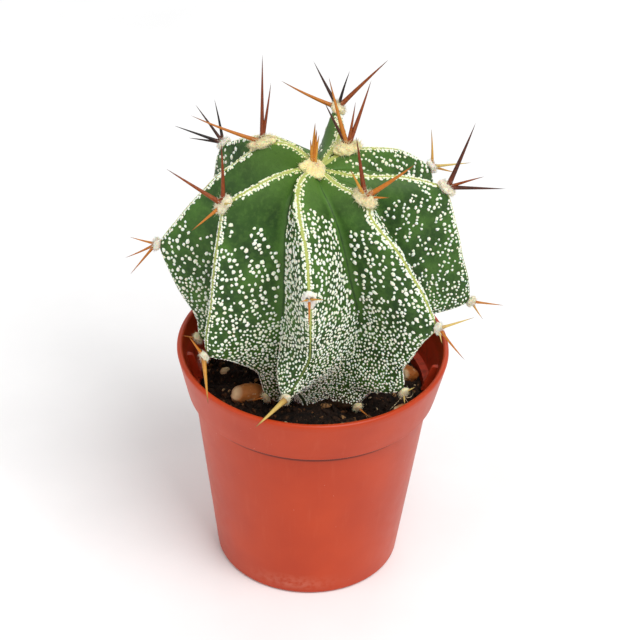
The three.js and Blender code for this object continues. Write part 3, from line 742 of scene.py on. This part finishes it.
def read_patch(patch, layer, row, column):
    """Reads a layer of a rib at fractional rows and columns."""
    values = patch[layer]
    r0 = np.clip(np.floor(row).astype(int), 0, values.shape[0] - 2)
    c0 = np.clip(np.floor(column).astype(int), 0, values.shape[1] - 2)
    u, v = row - r0, column - c0
    if values.ndim == 3:
        u, v = u[:, None], v[:, None]
    return ((values[r0, c0] * (1 - v) + values[r0, c0 + 1] * v) * (1 - u)
            + (values[r0 + 1, c0] * (1 - v) + values[r0 + 1, c0 + 1] * v) * u)


def crest_beads(patch, draw):
    """Row, column, width and stretch of the beads along both edges of the crest's pale line."""
    crest = patch["points"][:, SECTION_STEPS]
    run = np.concatenate([[0], np.cumsum(np.linalg.norm(np.diff(crest, axis=0), axis=1))])
    steps_out = np.arange(SECTION_STEPS + 1)
    spots = []
    for side in (-1, 1):
        for gap, pitch, share, size in BEAD_ROWS:
            length = np.arange(BEADS_START, run[-1], pitch)
            length = length + draw.uniform(-0.35, 0.35, len(length)) * pitch
            length = length[draw.uniform(size=len(length)) < share]
            row = np.interp(length, run, np.arange(len(run)))
            gaps = gap + draw.normal(0, 0.06, len(row))
            near = patch["crest_mm"][np.round(row).astype(int)][:, SECTION_STEPS + side * steps_out]
            steps = np.asarray([np.interp(*pair, steps_out) for pair in zip(gaps, near)])
            growth = np.interp(row / ROWS_PER_AGE + TIP_AGE, *np.transpose(BEAD_GROWTH))
            width = size * draw.uniform(0.75, 1.15, len(row)) * growth
            spots.append((row, SECTION_STEPS + side * steps, width, np.full(len(row), BEAD_STRETCH)))
    return [np.concatenate(parts) for parts in zip(*spots)]


def flank_flecks(patch, name, draw, seed):
    """The same for both flanks: strings that fall from the crest, and a dense low felt."""
    points, ages = patch["points"], patch["ages"]
    cross = np.cross(points[1:, :-1] - points[:-1, :-1], points[:-1, 1:] - points[:-1, :-1])
    widths = np.interp(ages, *np.transpose(FLECK_SIZES))
    weight = np.linalg.norm(cross, axis=2) / widths[:-1, None] ** 2
    chosen = draw.choice(weight.size, FLECK_TRIES, p=(weight / weight.sum()).ravel())
    row = chosen // weight.shape[1] + draw.uniform(size=len(chosen))
    column = chosen % weight.shape[1] + draw.uniform(size=len(chosen))
    age = np.interp(row, np.arange(len(ages)), ages)
    place = read_patch(patch, "points", row, column)
    crest = read_patch(patch, "crest_mm", row, column)

    first_flank = column < SECTION_STEPS
    clouds = wave_noise(place, CLOUD_SIZE, seed)
    breaks = wave_noise(place, BREAK_SIZE, seed + 1)
    waver = STRING_WAVER * wave_noise(place, WAVER_SIZE, seed + 200)
    phase = (age - STRING_FALL * crest) / STRING_PITCH + waver
    string = np.clip(0.45 + np.cos(2 * math.pi * phase), 0, 1)
    grown = rise(age + clouds * 1.2, np.where(first_flank, *FLECKS_FROM[name]), ONSET_SPAN)
    dense = rise(age, DENSE_AGE, DENSE_SPAN)
    fullness = np.where(first_flank, *FLECK_CROWD.get(name, (0.0, 0.0)))
    loose = np.clip(string * (1.1 + 1.3 * breaks) + fullness + 0.1 * clouds, 0.03, 1)
    depth = np.abs(column - SECTION_STEPS) / SECTION_STEPS
    bare = rise(depth, BARE_DEPTH, 0.03) * rise(age, BARE_AGE, -3)
    wanted = grown * (loose * (1 - dense) + 0.9 * dense) * (1 - bare) * (age < NECK_AGE)
    kept = (draw.uniform(size=len(row)) < wanted) & (crest > BEAD_GAP * 0.8)
    size = np.interp(age, *np.transpose(FLECK_SIZES)) * draw.uniform(0.66, 1.2, len(row))
    size = size * np.where(fullness < 0, SPARSE_SIZE, 1)
    stretch = 1 + np.abs(draw.normal(0, 0.25, len(row)))
    return [values[kept] for values in (row, column, size, stretch)]


def thin_out(points, spacing):
    """Indices of the points that aren't nearer than their spacing to one kept before."""
    tree = KDTree(len(points))
    for index, point in enumerate(points):
        tree.insert(point, index)
    tree.balance()
    kept = np.zeros(len(points), bool)
    for index, (point, limit) in enumerate(zip(points, spacing)):
        kept[index] = not any(kept[near] for _, near, _ in tree.find_range(point, limit))
    return np.flatnonzero(kept)


def on_pads(points):
    """True where a point lies under an areole's wool."""
    covered = np.zeros(len(points), bool)
    for name, age, _ in AREOLES:
        centre, across, along, out = areole_seat(name, age)
        half_length, half_width, half_height = pad_size(age)
        offset = points - centre
        local = np.stack([offset @ across / half_width, offset @ along / half_length,
                          offset @ out / (2 * half_height)], -1)
        covered |= np.linalg.norm(local, axis=1) < PAD_COVER
    return covered


def dome_mesh(centres, normals, along, sizes, stretches, draw):
    """Low irregular closed domes, one for each centre, lying on their normals."""
    count, sides = len(centres), FLECK_SIDES
    turn = 2 * math.pi * np.arange(sides) / sides
    ragged = draw.uniform(0.72, 1.22, (count, sides))
    ahead = unit(along - normals * np.sum(along * normals, 1, keepdims=True))
    twist = draw.normal(0, 0.5, count)[:, None]
    forward = ahead * np.cos(twist) + np.cross(normals, ahead) * np.sin(twist)
    sideways = np.cross(normals, forward)
    half = sizes[:, None] / 2
    reach_ahead = (half * np.sqrt(stretches)[:, None] * ragged * np.cos(turn))[..., None]
    reach_side = (half / np.sqrt(stretches)[:, None] * ragged * np.sin(turn))[..., None]
    spread = forward[:, None] * reach_ahead + sideways[:, None] * reach_side
    up = normals[:, None]
    height = (sizes * FLECK_HEIGHT * draw.uniform(0.8, 1.3, count))[:, None, None]
    foot = centres[:, None] + spread - up * FLECK_SUNK
    shoulder = centres[:, None] + spread * FLECK_SHOULDER[0] + up * height * FLECK_SHOULDER[1]
    crown = centres[:, None] + up * height
    points = np.concatenate([foot, shoulder, crown], axis=1).reshape(-1, 3)
    faces = grid_faces(2, sides) + fan_faces(2 * sides, range(2 * sides - 1, sides - 1, -1))
    faces.append(tuple(range(sides - 1, -1, -1)))
    return points, repeat_faces(faces, count, 2 * sides + 1)


def repeat_faces(faces, count, stride):
    """The faces of one shape, again for each of `count` shapes of `stride` vertices."""
    return [tuple(index + shape * stride for index in face)
            for shape in range(count) for face in faces]


def build_flecks(grid, material):
    for index, name in enumerate(RIB_NAMES):
        draw = np.random.default_rng(700 + index)
        patch = rib_patch(grid, index)
        beads = crest_beads(patch, draw)
        scattered = flank_flecks(patch, name, draw, 40 + 2 * index)
        row, column, size, stretch = [np.concatenate(pair) for pair in zip(beads, scattered)]
        points = read_patch(patch, "points", row, column)
        age = np.interp(row, np.arange(len(grid["ages"])), grid["ages"])
        is_bead = np.arange(len(row)) < len(beads[0])
        spacing = np.where(is_bead, BEAD_PITCH * 0.6, size * FLECK_PACKING)
        free = np.flatnonzero(~on_pads(points) & (age > YOUNGEST_AGE) & (age < NECK_AGE))
        kept = free[thin_out(points[free], spacing[free])]
        row, column, points = row[kept], column[kept], points[kept]
        normals = unit(read_patch(patch, "normals", row, column))
        row_after = np.minimum(row + 1, len(grid["ages"]) - 1.001)
        ahead = read_patch(patch, "points", row_after, column) - points
        domes, faces = dome_mesh(points, normals, ahead, size[kept], stretch[kept], draw)
        whiteness = draw.uniform(0.35, 1, len(kept)) * np.clip(age[kept] / WHITE_AGE, 0, 1)
        tint = np.repeat(whiteness, 2 * FLECK_SIDES + 1)
        make_piece(f"flecks_{name}", domes, faces, [material], [], {"tint": tint})


# ---- Areoles: wool and spines --------------------------------------------------------

SPINE_THINNEST, SPINE_THICKEST, SPINE_FATTENING = 0.24, 0.55, 0.026
SPINE_BOW = 0.025         # of its length
SPINE_TAPER = 0.82
SPINE_SLIM = 0.88         # beside the foot of the CAD's four-sided cones
SPINE_SWELL, SWELL_REACH = 0.3, 0.9   # the swollen foot: its part of the thickness, its length
# How much thicker the spines of some areoles are than their length gives.
GIRTHS = {"front_1": 1.8, "front_right_1": 1.4, "front_left_1": 1.15, "front_3": 1.5,
          "front_left_2": 1.3, "right_1": 1.15, "back_right_1": 1.15, "back_1": 1.15}
WOOL_TURNS, WOOL_ROWS = 36, 24
WOOL_LUMPS = ((0.13, 1.0, 60), (0.08, 0.4, 90))   # height, size and seed
WOOL_SLIM = 0.86          # the felt core beside the whole tuft, which fibres fill
OLD_AGE = 20              # from here on the wool's colour changes no more
FIBRES_YOUNG, FIBRES_OLD = 520, 200
FIBRE_RADIUS = 0.035
PITS = {"front_2": ((-0.52, -0.45, 0.46), (0.52, -0.4, 0.44), (0.0, 0.6, 0.42))}  # across, along, radius
PIT_DEPTH = 0.3
SPINE_STAIN = 0.9         # reach of the brown stain round the spines' feet
WOOL, SPINE = 0, 1        # places in an areole's list of materials


def areole_piece(number, name, age, spines, materials):
    draw = np.random.default_rng(900 + age)
    gather = Gather("years", "tone", "along", "near_spines", "pit")
    centre, across, along, out = areole_seat(name, age)
    half_length, half_width, half_height = pad_size(age)
    size = np.asarray([half_width, half_length, half_height]) * (WOOL_SLIM if age else 1)
    years = min(max(age, 0) / OLD_AGE, 1)
    basis = np.stack([across, along, out])
    middle = centre + out * PAD_RISE

    theta = np.linspace(0.04, math.pi - 0.04, WOOL_ROWS)[:, None]
    phi = 2 * math.pi * np.arange(WOOL_TURNS)[None] / WOOL_TURNS
    ball = np.stack(np.broadcast_arrays(np.sin(theta) * np.cos(phi), np.cos(theta),
                                        np.sin(theta) * np.sin(phi)), -1)
    ball = np.concatenate([ball.reshape(-1, 3), [[0, 1, 0], [0, -1, 0]]])
    tufts = 1 + lumps(ball * size, WOOL_LUMPS, age)
    tufts *= 1 - 0.22 * np.clip(ball[:, 2], 0, 1) ** 2
    x, y = ball[:, 0] * half_width, ball[:, 1] * half_length
    stain = np.exp(-(np.hypot(x, y) / SPINE_STAIN) ** 2)
    # Dents pressed into the wool's top; their share is also painted near black as the shade in them.
    holes = np.zeros(len(ball))
    for pit_x, pit_y, radius in PITS.get(f"{name}_{number}", ()):
        holes += np.exp(-(np.hypot(x - pit_x, y - pit_y) / radius) ** 4) * (ball[:, 2] > 0)
    wool = middle + (ball * size * tufts[:, None]) @ basis - out * (PIT_DEPTH * holes)[:, None]
    gather.add(wool, closed_faces(WOOL_ROWS, WOOL_TURNS), WOOL, years=years, near_spines=stain, pit=holes)

    youth = max(1 - age / YOUNG_AGES, 0)
    count = int(FIBRES_OLD + (FIBRES_YOUNG - FIBRES_OLD) * youth)
    start = unit(draw.normal(size=(count, 3)) * (1, 1, 0.8) + (0, 0, 0.45))
    root = middle + (start * size * 0.93) @ basis
    lean = unit(start + draw.normal(0, 0.75, (count, 3)) + (0, 0.25, 0.1)) @ basis
    curl = unit(draw.normal(size=(count, 3)))
    length = draw.uniform(0.35, 1.0, count) * (0.75 + 0.6 * youth)
    gather.add(*tube_bunch(root, lean, curl * 0.45, length, FIBRE_RADIUS, 3, 4), WOOL, years=years)

    girth = GIRTHS.get(f"{name}_{number}", 1.0)
    for azimuth, elevation, reach, tone in spines:
        points, faces, share = spine_mesh(centre + out * ROOT_DEPTH, azimuth, elevation, reach, draw,
                                          girth)
        gather.add(points, faces, SPINE, tone=tone + draw.uniform(-0.04, 0.04), along=share)
    node = f"areole_{name}_{number}"
    gather.piece(f"fine_{node}", materials, [node], "areole")


def ring_points(path, first, second, radius, sides):
    """Rings of `sides` points round each point of one path or many, by two directions across."""
    turn = 2 * math.pi * np.arange(sides)[:, None] / sides
    circle = first[..., None, :] * np.cos(turn) + second[..., None, :] * np.sin(turn)
    return path[..., None, :] + circle * radius[..., None, None]


def tube_bunch(root, lean, curl, length, radius, sides, rings, footed=True):
    """Many thin curved tubes that taper to a point, as points and faces."""
    count = len(root)
    t = np.linspace(0, 1, rings + 1)
    path = (root[:, None] + lean[:, None] * (length[:, None] * t)[..., None]
            + curl[:, None] * (length[:, None] * t**2)[..., None])
    tangent = unit(np.gradient(path, axis=1))
    first = unit(np.cross(tangent, unit(curl + 0.3)[:, None]))
    second = np.cross(tangent, first)
    skin = ring_points(path[:, :-1], first[:, :-1], second[:, :-1], radius * (1 - 0.75 * t[:-1]), sides)
    points = np.concatenate([skin.reshape(count, -1, 3), path[:, -1:]], axis=1)
    faces = spike_faces(rings, sides, footed)
    return points.reshape(-1, 3), repeat_faces(faces, count, rings * sides + 1)


def spike_faces(rings, sides, footed=True):
    """Faces of one tapering tube, with or without a flat foot. Its last vertex is its tip."""
    tip = rings * sides
    faces = grid_faces(rings, sides) + fan_faces(tip, range(tip - 1, tip - sides - 1, -1))
    return faces + [tuple(range(sides - 1, -1, -1))] if footed else faces


def spine_mesh(foot, azimuth, elevation, reach, draw, girth):
    """One stiff spine: swollen at its foot, slightly bowed, tapering to a sharp tip."""
    angle = math.radians(elevation)
    direction = polar(azimuth, math.cos(angle), math.sin(angle))
    side = unit(np.cross(direction, draw.normal(size=3)))
    other = np.cross(direction, side)
    thick = min(max(SPINE_THINNEST + SPINE_FATTENING * (reach - 2), SPINE_THINNEST), SPINE_THICKEST)
    t = np.linspace(0, 1, SPINE_LONG_STEPS + 1)[:-1] ** 0.9
    bow = draw.uniform(-1, 1) * SPINE_BOW * reach
    axis = foot + direction * (reach * t)[:, None] + side * (bow * 4 * t * (1 - t))[:, None]
    swollen = 1 + SPINE_SWELL * np.exp(-((t * reach / SWELL_REACH) ** 2))
    radius = thick * girth * SPINE_SLIM * (1 - t) ** SPINE_TAPER * swollen
    rings = ring_points(axis, side, other, radius, SPINE_ROUND_STEPS)
    points = np.concatenate([rings.reshape(-1, 3), [foot + direction * reach]])
    share = np.append(np.repeat(t, SPINE_ROUND_STEPS), 1.0)
    return points, spike_faces(len(t), SPINE_ROUND_STEPS), share


def build_areoles(materials):
    counts = {}
    for name, age, spines in AREOLES:
        counts[name] = counts.get(name, 0) + 1
        if spines is None:
            azimuth = crest_columns(name, np.asarray([age], float))[0][0]
            length = USUAL_LENGTH if age < LOW_AGE else LOW_LENGTH
            spines = [(azimuth + turn, lift, length, AMBER) for turn, lift in USUAL_SPINES]
        areole_piece(counts[name], name, age, spines, materials)


# ---- Pot -----------------------------------------------------------------------------

FIN_AZIMUTHS = (-92, -2, 88, 178)
FIN_TOP, FIN_FOOT, FIN_DEPTH, FIN_WIDTH = 46.4, 40.5, 1.1, 1.2
FIN_SUNK = 0.4            # into the collar's wall
STEP_ROUND = 0.25
ARC_STEPS = 8
DRAIN_SIDES = 32
SMEAR_HEIGHT = 3.2        # of a faint pale smear low on the front
CREASE_ROWS = (1.35, 1.05, 0.7, 0.3)   # profile points below the collar, where its painted shadow line lies
FLOOR_ROWS = (1, 6, 10, 15)
SHARP_ANGLE = 38          # degrees


def arc(centre_r, centre_z, radius, start, end, steps=ARC_STEPS):
    turns = np.linspace(math.radians(start), math.radians(end), steps + 1)
    return [(centre_r + radius * math.cos(turn), centre_z + radius * math.sin(turn)) for turn in turns]


def straight(start, end, steps):
    return [tuple(np.asarray(start) + (np.asarray(end) - start) * i / steps) for i in range(1, steps)]


def pot_profile():
    """Half-section as (reach, height), from the underside's middle to the floor's middle."""
    lip_height = POT_HEIGHT - LIP_ROUND
    inner_step = (COLLAR_FOOT_RADIUS - POT_WALL, COLLAR_FOOT + POT_WALL)
    wall_top = (WALL_TOP_RADIUS, COLLAR_FOOT)
    inner_foot = (BASE_RADIUS - POT_WALL, FLOOR_THICKNESS)
    collar_reach, collar_height = COLLAR_FOOT_RADIUS, COLLAR_FOOT + LIP_ROUND / 2
    slope = (WALL_TOP_RADIUS - BASE_RADIUS) / (COLLAR_FOOT - BASE_ROUND)
    profile = [(reach, 0) for reach in FLOOR_ROWS]
    profile += arc(BASE_RADIUS - BASE_ROUND, BASE_ROUND, BASE_ROUND, -90, 0)
    profile += straight((BASE_RADIUS, BASE_ROUND), wall_top, 24)
    profile += [(WALL_TOP_RADIUS - slope * drop, COLLAR_FOOT - drop) for drop in CREASE_ROWS] + [wall_top]
    profile += [(collar_reach - STEP_ROUND, collar_height - 0.06)]
    profile += arc(collar_reach - STEP_ROUND, collar_height + STEP_ROUND * 0.8, STEP_ROUND, -60, 0, 4)
    profile += straight((collar_reach, collar_height), (RIM_RADIUS, lip_height), 8)
    profile += arc(RIM_RADIUS - LIP_ROUND, lip_height, LIP_ROUND, 0, 180, 12)
    profile += straight((RIM_RADIUS - 2 * LIP_ROUND, lip_height), inner_step, 8) + [inner_step]
    profile += [(WALL_TOP_RADIUS - POT_WALL, COLLAR_FOOT + POT_WALL / 2)]
    profile += straight(profile[-1], inner_foot, 12) + [inner_foot]
    return profile + [(reach, FLOOR_THICKNESS) for reach in FLOOR_ROWS[::-1]]


def drained(points, faces):
    """The pot's shell with its drain holes cut through the floor."""
    gather = Gather()
    turn = 360 * np.arange(DRAIN_SIDES) / DRAIN_SIDES
    plug = grid_faces(2, DRAIN_SIDES)
    plug += [tuple(range(DRAIN_SIDES - 1, -1, -1)), tuple(range(DRAIN_SIDES, 2 * DRAIN_SIDES))]
    for i in range(DRAIN_HOLES):
        centre = polar(i * 360 / DRAIN_HOLES, DRAIN_CIRCLE, 0.0)
        rings = [centre + polar(turn, DRAIN_RADIUS, height) for height in (-1.0, 2.5)]
        gather.add(np.concatenate(rings), plug)
    shell = link("shell", make_mesh("shell", points, faces))
    holes = link("holes", make_mesh("holes", np.concatenate(gather.points), gather.faces))
    cut = shell.modifiers.new("drain", "BOOLEAN")
    cut.operation, cut.solver, cut.object = "DIFFERENCE", "EXACT", holes
    result = shell.evaluated_get(bpy.context.evaluated_depsgraph_get()).to_mesh()
    cut_points = [tuple(vertex.co) for vertex in result.vertices]
    cut_faces = [tuple(polygon.vertices) for polygon in result.polygons]
    for part in (shell, holes):
        bpy.data.objects.remove(part)
    return np.asarray(cut_points), cut_faces


def build_pot(material):
    profile = pot_profile()
    azimuths = 360 * np.arange(POT_TURN_STEPS) / POT_TURN_STEPS
    rows = [polar(azimuths, reach, height) for reach, height in profile]
    points = np.concatenate(rows + [[[0, 0, 0], [0, 0, FLOOR_THICKNESS]]])
    gather = Gather()
    gather.add(*drained(points, closed_faces(len(profile), POT_TURN_STEPS)))
    for azimuth in FIN_AZIMUTHS:
        gather.add(*fin_mesh(azimuth))
    points = np.concatenate(gather.points)
    x, y, z = points.T
    reach = np.hypot(x, y)
    # The inside face gets the inner attribute, which paints it paler than the outside: painted light
    # against the shade in the pot.
    inside = (reach < COLLAR_FOOT_RADIUS + 0.3) & (z > FLOOR_THICKNESS) & (reach < profile_inner(z) + 0.3)
    # Painted shadow: the band just under the collar's overhang is painted dark.
    crease = ~inside & (reach < WALL_TOP_RADIUS + 0.1) & (np.abs(z - COLLAR_FOOT + 0.7) < 0.5)
    # Darker low on the inner wall, fading out towards the rim.
    grime = np.where(inside, np.minimum(rise(z, 46, -7), 0.7), 0.0)
    smear = (y < 0) * np.exp(-((x + 3) / 7) ** 2) * np.exp(-((z - SMEAR_HEIGHT) / 0.8) ** 2) * ~inside
    pot = make_piece("fine_pot", points, gather.faces, [material], ["pot"],
                     {"grime": grime, "inner": inside, "crease": crease, "smear": smear})
    pot.data.set_sharp_from_angle(angle=math.radians(SHARP_ANGLE))


def profile_inner(height):
    """Reach of the pot's inner face at a height."""
    return np.interp(height, [FLOOR_THICKNESS, COLLAR_FOOT, COLLAR_FOOT + POT_WALL, POT_HEIGHT],
                     [BASE_RADIUS - POT_WALL, WALL_TOP_RADIUS - POT_WALL,
                      COLLAR_FOOT_RADIUS - POT_WALL, RIM_RADIUS - 2 * LIP_ROUND])


def fin_mesh(azimuth):
    """A short upright rib inside the collar that keeps stacked pots apart."""
    outline = []
    for height, depth in ((FIN_FOOT, 1.0), (FIN_TOP - 0.3, 1.0), (FIN_TOP, 0.7)):
        wall = profile_inner(height)
        inner, half = wall - depth * FIN_DEPTH, FIN_WIDTH / 2
        outline += [(wall + FIN_SUNK, -half, height), (wall + FIN_SUNK, half, height),
                    (inner, half * 0.7, height), (inner, -half * 0.7, height)]
    flat = np.asarray(outline)
    points = polar(azimuth, flat[:, 0], flat[:, 2]) + flat[:, 1:2] * polar(azimuth + 90, 1.0, 0.0)
    return points, grid_faces(3, 4) + [(3, 2, 1, 0), (8, 9, 10, 11)]


# ---- Potting mix, crumbs and stones --------------------------------------------------

SOIL_RINGS, SOIL_TURNS = 96, 260
SOIL_FLOOR_ROW = 9.0      # reach of the ring inside its flat underside
SOIL_LUMPS = ((0.34, 3.2, 21), (0.24, 1.1, 22), (0.13, 0.5, 23))   # height, size and seed
CRUMBS = 900
CRUMB_SIZE, CRUMB_SPREAD = 0.22, 0.5
THREADS, THREAD_RADIUS = 5, 0.09
THREADS_FROM = (18.4, -15.6, 49.6)   # pale rootlets caught on a low areole
WALL_SLOPE = (WALL_TOP_RADIUS - BASE_RADIUS) / COLLAR_FOOT
SOIL_EDGE_RADIUS = WALL_TOP_RADIUS - POT_WALL - GAP - WALL_SLOPE * (COLLAR_FOOT - SOIL_EDGE_HEIGHT)


def soil_height(reach):
    outwards = rise(reach, SOIL_CROWN_RADIUS, SOIL_EDGE_RADIUS - SOIL_CROWN_RADIUS)
    return SOIL_CROWN_HEIGHT + (SOIL_EDGE_HEIGHT - SOIL_CROWN_HEIGHT) * outwards**2


def soil_surface(x, y):
    """Height of the lumpy surface of the mix, calmer at the wall."""
    spots = np.stack([x, y, np.zeros_like(x)], -1)
    reach = np.hypot(x, y)
    calm = np.maximum(rise(reach, SOIL_EDGE_RADIUS, -1.5), 0.25)
    return soil_height(reach) + lumps(spots, SOIL_LUMPS) * calm


def build_soil(material):
    turns = np.linspace(0, 2 * math.pi, SOIL_TURNS, endpoint=False)
    rows = []
    for reach in np.linspace(0.15, SOIL_EDGE_RADIUS, SOIL_RINGS):
        x, y = reach * np.sin(turns), -reach * np.cos(turns)
        rows.append(np.stack([x, y, soil_surface(x, y)], -1))
    floor_height, floor_reach = FLOOR_THICKNESS + GAP, BASE_RADIUS - POT_WALL - GAP
    for share in (0.2, 0.5, 0.8, 1.0):
        reach = SOIL_EDGE_RADIUS + (floor_reach - SOIL_EDGE_RADIUS) * share
        height = SOIL_EDGE_HEIGHT + (floor_height - SOIL_EDGE_HEIGHT) * share
        rows.append(polar(np.degrees(turns), reach, height))
    rows.append(polar(np.degrees(turns), SOIL_FLOOR_ROW, floor_height))
    points = np.concatenate(rows + [[[0, 0, SOIL_CROWN_HEIGHT], [0, 0, floor_height]]])
    make_piece("fine_potting_mix", points, closed_faces(len(rows), SOIL_TURNS, inward=True), [material],
               ["potting_mix"])


def lump_template(subdivisions):
    """Points and triangles of a unit icosphere."""
    ball = bmesh.new()
    bmesh.ops.create_icosphere(ball, subdivisions=subdivisions, radius=1)
    points = np.asarray([tuple(vertex.co) for vertex in ball.verts])
    faces = [tuple(vertex.index for vertex in face.verts) for face in ball.faces]
    ball.free()
    return points, faces


def turned(points, draw):
    """Points turned to any direction."""
    first = unit(draw.normal(size=3))
    second = unit(np.cross(first, draw.normal(size=3)))
    return points @ np.stack([first, second, np.cross(first, second)])


def build_crumbs(material):
    draw = np.random.default_rng(31)
    ball, faces = lump_template(2)
    gather = Gather("tint")
    for _ in range(CRUMBS):
        reach = SOIL_EDGE_RADIUS * math.sqrt(draw.uniform(0.12, 0.97))
        azimuth = draw.uniform(0, 360)
        size = CRUMB_SIZE + CRUMB_SPREAD * draw.uniform() ** 2.2
        tint = draw.uniform() ** 1.6
        shape = np.asarray([draw.uniform(0.8, 1.9), draw.uniform(0.7, 1.1), draw.uniform(0.5, 0.9)])
        knobs = 1 + 0.28 * wave_noise(ball, 0.8, int(draw.integers(1, 10_000)), waves=5)
        lump = turned(ball * knobs[:, None] * shape * size, draw)
        spot = polar(azimuth, reach, 0.0)
        spot[2] = soil_surface(spot[:1], spot[1:2])[0] + size * 0.15
        gather.add(lump + spot, faces, tint=tint)
    root = np.asarray(THREADS_FROM) + draw.normal(0, 0.4, (THREADS, 3))
    lean = unit(draw.normal(size=(THREADS, 3)) * (1, 0.6, 0.3) + (0.5, -0.3, 0.1))
    curl = unit(draw.normal(size=(THREADS, 3)) - lean * 0.8)
    length = draw.uniform(2.0, 4.0, THREADS)
    threads = tube_bunch(root, lean, curl * 0.9, length, THREAD_RADIUS, 4, 10, footed=False)
    gather.add(*threads, tint=1.0)
    gather.piece("mix_crumbs", [material], [], "potting_mix")


def build_stones(material):
    ball, faces = lump_template(5)
    for number, (x, y, length, width, height, turn, tint) in enumerate(STONES, 1):
        seed = 300 + number
        chips = 1 + 0.13 * wave_noise(ball, 0.9, seed, waves=8) + 0.035 * wave_noise(ball, 0.3, seed + 50)
        shape = ball * chips[:, None] * (length, width, height)
        spin = np.stack([polar(turn + 90, 1.0, 0.0), polar(turn + 180, 1.0, 0.0), (0, 0, 1)])
        seat = soil_height(math.hypot(x, y)) + height * STONE_RISE
        values = {"tint": tint, "dirt": rise(ball[:, 2], 0.1, -0.5),
                  "pale": rise(ball @ PALE_SIDE, 0.6, 0.3)}
        make_piece(f"fine_stone_{number}", shape @ spin + (x, y, seat), faces, [material],
                   [f"stone_{number}"], values)


# ---- Camera, lights and floor --------------------------------------------------------

FLOOR_HALF = 2.0          # metres
AIM = (0, 0, 0.06)        # of the lights, in metres
# Each light's place and size in metres, and its power in watts.
LIGHTS = {"key": ((0.35, -0.45, 0.95), 0.6, 8.0), "fill": ((-0.8, -0.5, 0.5), 0.6, 1.2),
          "back": ((0.1, 0.9, 0.8), 0.6, 1.5)}
SKY_STRENGTH = 0.6


def build_camera():
    """The real viewpoint, aimed so that the axis point falls on its own pixel."""
    tilt, roll = math.radians(CAMERA_ELEVATION), math.radians(CAMERA_ROLL)
    forward = np.asarray([0, math.cos(tilt), -math.sin(tilt)])
    level = np.asarray([1.0, 0, 0])
    up = np.cross(level, forward)
    spot = np.asarray([0, 0, AIM_HEIGHT]) - forward * CAMERA_DISTANCE
    right = math.cos(roll) * level + math.sin(roll) * up
    up = math.cos(roll) * up - math.sin(roll) * level
    half = IMAGE_SIZE / 2
    ahead = unit(forward + right * (half - AIM_PIXEL[0]) / FOCAL_PIXELS
                 + up * (AIM_PIXEL[1] - half) / FOCAL_PIXELS)
    across = unit(np.cross(ahead, up))
    data = bpy.data.cameras.new("camera")
    data.sensor_width = SENSOR_WIDTH
    data.lens = FOCAL_PIXELS / IMAGE_SIZE * SENSOR_WIDTH
    data.clip_start = 0.01
    camera = link("camera", data)
    rows = np.stack([across, np.cross(across, ahead), -ahead, spot * MM], axis=1)
    camera.matrix_world = Matrix([*rows.tolist(), [0, 0, 0, 1]])
    bpy.context.scene.camera = camera


def build_stage():
    corners = [(x * FLOOR_HALF, y * FLOOR_HALF, 0) for x, y in ((-1, -1), (1, -1), (1, 1), (-1, 1))]
    mesh = make_mesh("studio_floor", corners, [(0, 1, 2, 3)])
    mesh.materials.append(floor_material())
    link("studio_floor", mesh)
    world = bpy.data.worlds.new("studio")
    world.use_nodes = True
    background = world.node_tree.nodes["Background"]
    background.inputs["Color"].default_value = (1, 1, 1, 1)
    background.inputs["Strength"].default_value = SKY_STRENGTH
    scene = bpy.context.scene
    scene.world = world
    scene.view_settings.view_transform = "Standard"
    for name, (place, size, power) in LIGHTS.items():
        data = bpy.data.lights.new(name, "AREA")
        data.size, data.energy = size, power
        light = link(name, data)
        light.location = place
        light.rotation_euler = (Vector(AIM) - light.location).to_track_quat("-Z", "Y").to_euler()


def main():
    build_camera()
    build_stage()
    build_pot(plastic_material())
    build_soil(soil_material())
    build_crumbs(crumb_material())
    build_stones(stone_material())
    grid = body_grid()
    build_body(grid, skin_material())
    build_flecks(grid, fleck_material())
    build_areoles([wool_material(), spine_material()])


main()
